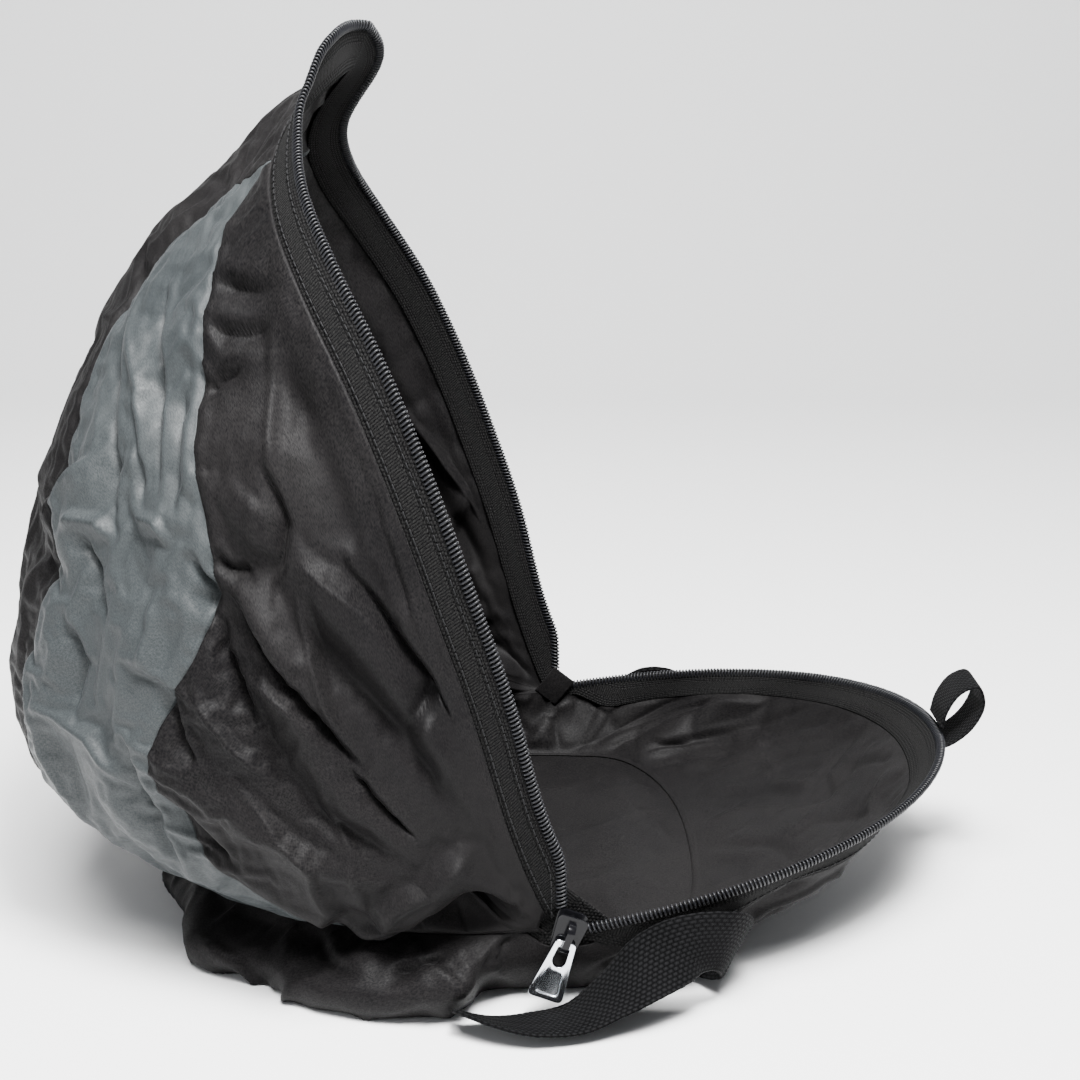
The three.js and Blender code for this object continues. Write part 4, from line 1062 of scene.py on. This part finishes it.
def splinePoints(knots, t):  # smooth curve through knots (..., k, 3), t from 0 to 1
    knots = np.asarray(knots, float)
    count = knots.shape[-2]
    before = 2 * knots[..., :1, :] - knots[..., 1:2, :]
    after = 2 * knots[..., -1:, :] - knots[..., -2:-1, :]
    padded = np.concatenate([before, knots, after], axis=-2)
    out = []
    for value in t:
        at = value * (count - 1)
        i = min(int(at), count - 2)
        w = at - i
        p0, p1, p2, p3 = (padded[..., i + k, :] for k in range(4))
        d0 = np.maximum(np.linalg.norm(p1 - p0, axis=-1, keepdims=True) ** 0.5, 1e-4)
        d1 = np.maximum(np.linalg.norm(p2 - p1, axis=-1, keepdims=True) ** 0.5, 1e-4)
        d2 = np.maximum(np.linalg.norm(p3 - p2, axis=-1, keepdims=True) ** 0.5, 1e-4)
        m1 = ((p1 - p0) / d0 - (p2 - p0) / (d0 + d1) + (p2 - p1) / d1) * d1
        m2 = ((p2 - p1) / d1 - (p3 - p1) / (d1 + d2) + (p3 - p2) / d2) * d1
        out.append((2 * w ** 3 - 3 * w ** 2 + 1) * p1 + (w ** 3 - 2 * w ** 2 + w) * m1
                   + (3 * w ** 2 - 2 * w ** 3) * p2 + (w ** 3 - w ** 2) * m2)
    return np.stack(out, axis=-2)


def wallKnots(station, side):
    share = nearShare(station)
    foot = footPoint(station, side)
    if side < 0:
        top = smoothHood(np.ones_like(station), station)
    else:
        top = archPoint(base["edgeReach"], base["edgeAngle"], station, base["edgeHalf"], 0)
    rows = closedRoll if side < 0 else openRoll
    crease = 0 * share
    for at, spread, high in wallFolds:
        crease = crease + high * np.exp(-((share - at) / spread) ** 2) * smoothStep(share, 0.04, 0.2)
    out = readRows(rows, "share", "out", share) + crease
    away = np.stack([top[:, 0] - hood["axisX"], top[:, 1], 0 * share], axis=-1)
    away[share < 0.01] = np.stack([0 * share, np.sign(top[:, 1]), 0 * share], axis=-1)[share < 0.01]
    away = unit(away)
    high = readRows(rows, "share", "high", share)[:, None]
    belly = foot + (top - foot) * high + away * out[:, None]
    toe = foot + away * (readRows(rows, "share", "toe", share) + crease * 0.75)[:, None]
    toe[:, 2] = foot[:, 2] + readRows(rows, "share", "lift", share)
    return np.stack([top, belly, toe, foot], axis=1)


def alongSection(knots, shares):  # points at lengths along each section; shares is (n, m), in mm from the top
    fine = splinePoints(knots, np.linspace(0, 1, 91))
    pace = np.linalg.norm(np.diff(fine, axis=1), axis=-1)
    run = np.concatenate([np.zeros((len(fine), 1)), np.cumsum(pace, axis=1)], axis=1)
    out = np.empty(shares.shape + (3,))
    for i in range(len(fine)):
        for k in range(3):
            out[i, :, k] = np.interp(shares[i], run[i], fine[i, :, k])
    return out, run[:, -1]


def baseTapeWidth(share):
    return zipSizes["tapeWidth"] * smoothStep(share, 0, 0.16)


def wallTop(station, side):
    share = nearShare(station)
    start = 0 if side < 0 else 0.05
    room = np.where(station < 1, 5.5, 0)
    dip = room * (1 - smoothStep(share, start, start + (0.05 if side < 0 else 0.06)))
    tape = 0 * share if side < 0 else baseTapeWidth(share) - 0.4
    return np.where(side < 0, 0.1, 0.6) + np.maximum(dip, tape)


# crisp creases that run aslant over the base wall
wallCreases = dict(seed=17, count=64, shortest=16, longest=40, high=1.9, wide=9, sharp=3, openShare=0.4)
wallWrinkles = dict(soft=0.95, small=0.5, gather=0.8)


def wallCreaseLines(runLength):
    draw = np.random.RandomState(wallCreases["seed"])
    lines = []
    for i in range(wallCreases["count"]):
        start = np.array([(i + draw.uniform(0, 1)) / wallCreases["count"] * runLength, draw.uniform(6, 46)])
        lean = draw.uniform(0.25, 1.0) * (1 if i % 3 else -1)
        length = draw.uniform(wallCreases["shortest"], wallCreases["longest"])
        reach = length * np.array([math.cos(lean), math.sin(lean)])
        bow = draw.uniform(-0.16, 0.16) * np.array([-reach[1], reach[0]])
        high = wallCreases["high"] * draw.uniform(0.7, 1.3) * (1 if i % 2 else -1)
        knots = np.array([start - reach / 2, start + bow, start + reach / 2])
        lines.append((knots, wallCreases["wide"], wallCreases["sharp"], high))
    return lines


def makeBaseWall():
    closed = np.linspace(0, 2, base["closedSteps"])
    opened = np.linspace(2, 0, base["openSteps"])[1:-1]
    nets = []
    for station, side in ((closed, -1), (opened, 1)):
        knots = wallKnots(station, side)
        whole = alongSection(knots, np.zeros((len(station), 1)))[1]
        steps = np.linspace(0, 1, base["columns"] + 1)
        top = wallTop(station, side)[:, None]
        shares = top + (whole[:, None] - top) * steps[None, :]
        nets.append(alongSection(knots, shares)[0])
    points = np.concatenate(nets)
    along = np.roll(points, -1, axis=0) - np.roll(points, 1, axis=0)
    down = np.gradient(points, axis=1)
    normal = unit(np.cross(along, down))
    run = runAlong(points[:, base["columns"] * 2 // 5])
    steps = np.linspace(0, 1, base["columns"] + 1)
    deep = np.linalg.norm(np.diff(points, axis=1), axis=-1).sum(axis=1)
    p = run[:, None]
    q = deep[:, None] * steps[None, :]
    bend = cloudNoise(p / 40, q / 25, 91) * 5
    soft = creaseNoise((p + 0.9 * q + bend) / 17, (q - 0.5 * p) / 60, 92)
    soft = soft + 0.6 * creaseNoise((p - 0.7 * q - bend) / 12, (q + 0.5 * p) / 45, 93)
    small = cloudNoise(p / 7, q / 6, 94) * 0.3
    gather = creaseNoise(p / 7, q / 40, 95) * np.exp(-(q / 11) ** 2)
    hold = smoothStep(steps, 0, 0.12) * (1 - smoothStep(steps, 0.78, 1.0))
    ends = smoothStep(np.minimum(p, run[-1] - p), 4, 22)
    turn = run[base["closedSteps"] - 1]  # the open end lies smoother than the roll
    calm = (1 - wallCreases["openShare"]) * smoothStep(p, turn - 10, turn + 10)
    height = tentHeight(wallCreaseLines(run[-1]), p, q) * (1 - calm)
    height = height + wallWrinkles["soft"] * soft + wallWrinkles["small"] * small
    height = hold[None, :] * ends * (height + wallWrinkles["gather"] * gather)
    points = points + normal * height[..., None]
    points[..., 2] = np.maximum(points[..., 2], base["leastHeight"])
    lip = points[:, -1:].copy()  # seam allowance, turned in over the back panel
    lip[..., :2] += unit(np.array([panel["hubX"], 0.0]) - lip[..., :2]) * base["lip"]
    lip[..., 2] = panelHeight(lip[..., 0]) + 0.45
    points = np.concatenate([points, lip], axis=1)
    normal = np.concatenate([normal, normal[:, -1:]], axis=1)
    q = np.concatenate([q, q[:, -1:] + base["lip"]], axis=1)
    uv = np.stack(np.broadcast_arrays(p, q), axis=-1)
    piece = netObject("baseWall", points, uv, blackNylon, normal, ring=True)
    addThickness(piece, base["cloth"] * 0.001)
    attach(piece, body)
    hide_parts("base_wall")
    return piece


makeBaseWall()
print("base wall made")


def makeBaseZip():
    station = np.linspace(0.05, 1.985, zipSizes["baseSteps"])
    share = nearShare(station)
    knots = wallKnots(station, 1)
    width = np.maximum(baseTapeWidth(share), zipSizes["leastTape"])
    places = np.stack([0 * share, 0 * share + coilReach, width + zipSizes["overlap"]], axis=-1)
    lines = alongSection(knots, places)[0]
    coilLine, edge, hem = lines[:, 0], lines[:, 1], lines[:, 2]
    along = np.gradient(coilLine, axis=0)
    normal = unit(np.cross(along, hem - edge))
    outside = np.stack([coilLine[:, 0] - hood["axisX"], coilLine[:, 1], 0 * share], axis=-1)
    if (normal * outside).sum() < 0:
        normal = -normal
    tape = bandPiece("baseZipTape", hem, edge, normal, tapeWaves["base"])
    coil = coilRow("baseZipCoil", coilLine, normal, 8)
    coilCord("baseCoilCord", coilLine, normal)
    inward = unit(edge - hem)
    sewn = slice(20, -20)  # clear of both zip ends
    seam = stitchRow("baseHemStitch", hem[sewn] + inward[sewn] * zipSizes["baseStitch"], normal[sewn], 9)
    for piece, node, slot in ((tape, "base_zip_tape", "zip_tape"), (coil, "base_zip_coil", "zip_coil")):
        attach(piece, body)
        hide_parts(node)
    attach(seam, body)


makeBaseZip()
print("base zip made")

# end tabs: small patches sewn inside over the ends of both tapes, centres and sizes in mm
tabCloth = 0.0005  # metres
endTabs = [
    dict(name="zipEndTab", centre=(16.8, 105.2, 27.2), inward=-1, long=13.0, wide=10.5,
         finish=blackNylon, slot="black_cloth", area=0.000136),
    dict(name="zipStartTab", centre=(18.0, -104.8, 26.4), inward=1, long=20.0, wide=22.0,
         finish=zipTapeFinish, slot="zip_tape", area=0.000438),
]


def makeEndTab(tab):
    along = np.array((0.62, 0.0, 0.78))
    across = np.array((0.78, 0.0, -0.62))
    u = np.linspace(-1, 1, 25)[:, None]
    v = np.linspace(-1, 1, 19)[None, :]
    bow = 0.5 * (u * u + v * v * 0.5) + 0.1 * cloudNoise(u * 3 + v, v * 3 - u, 91)
    points = np.array(tab["centre"]) + along * (u * tab["long"] / 2)[..., None]
    points = points + across * (v * tab["wide"] / 2)[..., None]
    points = points - np.array((0.0, tab["inward"], 0.0)) * bow[..., None]
    uv = np.stack(np.broadcast_arrays(u * tab["long"] / 2, (v + 1) * tab["wide"] / 2), axis=-1)
    inside = np.broadcast_to((0.0, tab["inward"], 0.0), points.shape)
    piece = netObject(tab["name"], points, uv, tab["finish"], inside)
    addThickness(piece, tabCloth)
    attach(piece, body)


for tab in endTabs:
    makeEndTab(tab)
print("end tabs made")


# back panel: flat sheet on the ground
def makeBackPanel():
    outline = np.concatenate([footPoint(np.linspace(0, 2, panel["closedSteps"]), -1),
                              footPoint(np.linspace(2, 0, panel["openSteps"])[1:-1], 1)])
    share = np.linspace(0.012, 0.995, panel["rings"])
    hub = np.array([panel["hubX"], 0.0])
    flat = hub + (outline[:, None, :2] - hub) * share[None, :, None]
    x, y = flat[..., 0], flat[..., 1]
    bend = cloudNoise(x / 50, y / 50, 101) * 12
    ripple = creaseNoise((x + 0.4 * y + bend) / 26, (y - 0.4 * x) / 80, 102)
    ripple = ripple + 0.7 * creaseNoise((y - 0.3 * x - bend) / 20, x / 70, 103)
    rise = np.maximum(0, 0.9 + ripple) * 0.9 * (1 - smoothStep(share, 0.85, 0.98))[None, :]
    z = panelHeight(x) - 0.3 + rise
    points = np.stack([x, y, z], axis=-1)
    uv = np.stack([x, y], axis=-1)
    up = np.broadcast_to(np.array([0, 0, 1.0]), points.shape)
    piece = netObject("backPanel", points, uv + 300.0, blackNylon, up, ring=True)
    net = bmesh.new()
    net.from_mesh(piece.data)
    net.verts.ensure_lookup_table()
    middle = net.verts.new(toFrame(np.array([panel["hubX"], 0, points[:, 0, 2].mean()])))
    net.verts.ensure_lookup_table()
    layer = net.loops.layers.uv["cloth"]
    inner = [net.verts[i * panel["rings"]] for i in range(len(outline))]
    for i in range(len(inner)):
        face = net.faces.new((middle, inner[i], inner[(i + 1) % len(inner)]))
        face.smooth = True
        for loop in face.loops:
            loop[layer].uv = (loop.vert.co.x - shiftX * 0.001 + 0.3, loop.vert.co.y + 0.3)
    bmesh.ops.recalc_face_normals(net, faces=net.faces)
    if sum(f.normal.z * f.calc_area() for f in net.faces) < 0:
        bmesh.ops.reverse_faces(net, faces=net.faces)
    net.to_mesh(piece.data)
    net.free()
    addThickness(piece, panel["cloth"] * 0.001)
    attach(piece, body)
    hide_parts("back_panel")


makeBackPanel()
print("back panel made")

# shoulder straps: 20 mm webbing, lying on one face, then on its edge, then on the other face
strap = dict(wide=20, thick=1.5, rows=380, columns=34, pebbleLong=1.9, pebbleWide=1.3, pebbleHigh=0.28)
strapRoute = dict(
    x=[57, 58, 62, 67, 71, 67, 57, 45, 33, 21, 8, -3, -15],
    y=[-34, -52, -72, -88, -99, -108, -112.8, -115.2, -117.8, -121, -123.6, -124.4, -123.4],
    z=[1, 1.1, 2, 6.5, 15, 22, 23.5, 18.6, 10.2, 3.8, 3.2, 4.6, 7.6],
    lean=[0, 0, 4, 26, 58, 80, 96, 130, 166, 182, 190, 200, 212],
    wide=[20, 20, 20, 20, 20, 20, 20, 20, 20, 20, 20, 16, 8],
)


def wovenBand(name, centre, width, normal, sizes, material):
    run = runAlong(centre)
    steps = np.linspace(-1, 1, sizes["columns"] + 1)
    top = []
    for face in (1, -1):
        v = steps[None, :] * sizes["wide"] / 2
        u = run[:, None]
        row = np.floor(v / sizes["pebbleWide"]) % 2
        pebble = np.abs(np.sin((u / sizes["pebbleLong"] + row * 0.5) * math.pi))
        pebble = pebble * np.abs(np.sin(v / sizes["pebbleWide"] * math.pi))
        edge = np.sqrt(np.maximum(0, 1 - np.abs(steps) ** 14))[None, :]
        high = face * (sizes["thick"] / 2 * edge - sizes["pebbleHigh"] * (1 - pebble) * edge)
        side = v * (1 + 0.004 * np.sin(u / sizes["pebbleLong"] * math.pi))
        top.append(centre[:, None] + width[:, None] * side[..., None] + normal[:, None] * high[..., None])
    loop = np.concatenate([top[0], top[1][:, -2:0:-1]], axis=1)  # once round the section
    across = np.concatenate([steps, steps[-2:0:-1]]) * sizes["wide"] / 2
    uv = np.stack(np.broadcast_arrays(run[:, None], across[None, :] + 40), axis=-1)
    rows, columns = loop.shape[:2]
    place = np.arange(rows * columns).reshape(rows, columns)
    nextColumn = np.roll(place, -1, axis=1)
    faces = np.stack([place[:-1], nextColumn[:-1], nextColumn[1:], place[1:]], axis=-1).reshape(-1, 4)
    mesh = bpy.data.meshes.new(name)
    ends = [place[0].tolist(), place[-1].tolist()]
    mesh.from_pydata(toFrame(loop).reshape(-1, 3).tolist(), [], faces.tolist() + ends)
    layer = mesh.uv_layers.new(name="cloth")
    corner = np.empty(len(mesh.loops), dtype=np.int32)
    mesh.loops.foreach_get("vertex_index", corner)
    layer.data.foreach_set("uv", ((uv.reshape(-1, 2) * 0.001)[corner]).ravel().astype(np.float32))
    mesh.materials.append(material)
    net = bmesh.new()
    net.from_mesh(mesh)
    bmesh.ops.recalc_face_normals(net, faces=net.faces)
    for f in net.faces:
        f.smooth = True
    net.to_mesh(mesh)
    net.free()
    return linkObject(name, mesh)


def makeStrap(name, node, mirror):
    t = np.linspace(0, 1, strap["rows"])
    knots = np.stack([strapRoute["x"], strapRoute["y"], strapRoute["z"]], axis=-1).astype(float)
    centre = splinePoints(knots, t)
    ahead = unit(np.gradient(centre, axis=0))
    stops = np.linspace(0, 1, len(strapRoute["lean"])).tolist()
    rows = dict(at=stops, lean=strapRoute["lean"], wide=strapRoute["wide"])
    wide = np.minimum(readRows(rows, "at", "wide", t), strap["wide"]) / strap["wide"]
    lean = np.radians(readRows(rows, "at", "lean", t))[:, None]
    side = unit(np.cross(np.array([0, 0, 1.0]), ahead))
    rise = unit(np.cross(ahead, side))
    width = side * np.cos(lean) + rise * np.sin(lean)
    normal = unit(np.cross(ahead, width))
    width = width * wide[:, None]  # pleated narrow where it is sewn to the roll
    flip = np.array([1, mirror, 1])
    piece = wovenBand(name, centre * flip, width * flip, normal * flip, strap, webbingFinish)
    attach(piece, body)
    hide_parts(node)


makeStrap("shoulderStrapNear", "shoulder_strap_near", 1)
makeStrap("shoulderStrapFar", "shoulder_strap_far", -1)
print("straps made")

# haul loop: folded cloth at the middle of the open end
haul = dict(wide=20, thick=1.3, rows=120, columns=34, pebbleLong=1.9, pebbleWide=1.3, pebbleHigh=0.12)
haulRoute = dict(x=[147.6, 154.5, 162, 165.4, 163, 157.2, 152.8, 151.2],
                 z=[44.5, 46.5, 53, 61.5, 67.5, 65.5, 59, 52.6])


def makeHaulLoop():
    knots = np.stack([haulRoute["x"], np.zeros(len(haulRoute["x"])), haulRoute["z"]], axis=-1).astype(float)
    centre = splinePoints(knots, np.linspace(0, 1, haul["rows"]))
    ahead = unit(np.gradient(centre, axis=0))
    width = np.broadcast_to(np.array([0, 1.0, 0]), centre.shape)
    normal = unit(np.cross(ahead, width))
    piece = wovenBand("haulLoop", centre, width, normal, haul, webbingFinish)
    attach(piece, body)
    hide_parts("haul_loop")


makeHaulLoop()
print("haul loop made")

# slider and pull: the hard pieces keep their solids' shape and get rounded edges
hardEdges = dict(slider=0.00025, pull=0.00028)


def roundedCopy(name, node, radius, material):
    mesh = frame["nodes"][node].data.copy()
    mesh.name = name
    net = bmesh.new()
    net.from_mesh(mesh)
    bmesh.ops.remove_doubles(net, verts=net.verts, dist=0.000002)
    bmesh.ops.dissolve_limit(net, angle_limit=math.radians(2), verts=net.verts, edges=net.edges)
    sharp = [e for e in net.edges if len(e.link_faces) == 2 and e.calc_face_angle(0) > math.radians(35)]
    bmesh.ops.bevel(net, geom=sharp, offset=radius, offset_type="OFFSET", segments=3, profile=0.5,
                    affect="EDGES", clamp_overlap=True)
    bmesh.ops.recalc_face_normals(net, faces=net.faces)
    for f in net.faces:
        f.smooth = True
    net.to_mesh(mesh)
    net.free()
    mesh.materials.clear()
    mesh.materials.append(material)
    piece = linkObject(name, mesh)
    mesh.set_sharp_from_angle(angle=math.radians(40))
    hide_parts(node)
    return piece


sliderPiece = roundedCopy("zipSlider", "zip_slider", hardEdges["slider"], enamelFinish)
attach(sliderPiece, body)
pullPiece = roundedCopy("zipPull", "zip_pull", hardEdges["pull"], nickelFinish)
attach(pullPiece, pullBody)
for motif in (tooth, stitch):
    bpy.data.objects.remove(motif)
print("slider and pull made")

# stage: pale floor that curves up behind, soft studio light
studio = dict(floor=(0.90, 0.90, 0.90, 1), back=0.9, reach=3.0, bend=0.6, wall=3.0, steps=24, under=0.0002,
              air=(0.93, 0.96, 1.0, 1), airPower=0.24)
lights = [
    dict(name="topLight", place=(0.0, -0.5, 1.45), aim=(0, 0, 0.12), size=(1.0, 0.8), power=78,
         tint=(1, 1, 1)),
    dict(name="keyLight", place=(0.1, -0.36, 0.74), aim=(-0.09, -0.06, 0.24), size=(0.2, 0.2), power=18,
         tint=(1, 1, 1)),
    dict(name="fillLight", place=(-1.1, -0.9, 0.6), aim=(0.0, 0.0, 0.12), size=(0.9, 0.7), power=3,
         tint=(0.95, 0.97, 1.0)),
]


def makeStage():
    steps = studio["steps"]
    profile = [(-studio["reach"], 0.0), (studio["back"], 0.0)]
    for i in range(1, steps + 1):
        turn = math.pi / 2 * i / steps
        rise = studio["bend"] * (1 - math.cos(turn))
        profile.append((studio["back"] + studio["bend"] * math.sin(turn), rise))
    profile.append((studio["back"] + studio["bend"], studio["wall"]))
    points = []
    faces = []
    for y, z in profile:
        low = z - studio["under"]
        points += [(-studio["reach"], y, low), (studio["reach"], y, low)]
    for i in range(len(profile) - 1):
        faces.append((2 * i, 2 * i + 1, 2 * i + 3, 2 * i + 2))
    mesh = bpy.data.meshes.new("studioFloor")
    mesh.from_pydata(points, [], faces)
    for f in mesh.polygons:
        f.use_smooth = True
    finish = Finish("paleFloor", Roughness=0.85)
    finish.shader.inputs["Base Color"].default_value = studio["floor"]
    mesh.materials.append(finish.material)
    floor = linkObject("studioFloor", mesh)


def softBox(box):
    light = bpy.data.lights.new(box["name"], "AREA")
    light.shape = "RECTANGLE"
    light.size, light.size_y = box["size"]
    light.energy = box["power"]
    light.color = box["tint"]
    lamp = linkObject(box["name"], light)
    lamp.location = box["place"]
    lamp.rotation_euler = (Vector(box["aim"]) - Vector(box["place"])).to_track_quat("-Z", "Y").to_euler()


makeStage()
for box in lights:
    softBox(box)
world = bpy.data.worlds.new("studioAir")
world.use_nodes = True
air = world.node_tree.nodes["Background"]
air.inputs["Color"].default_value = studio["air"]
air.inputs["Strength"].default_value = studio["airPower"]
bpy.context.scene.world = world
print("stage set")
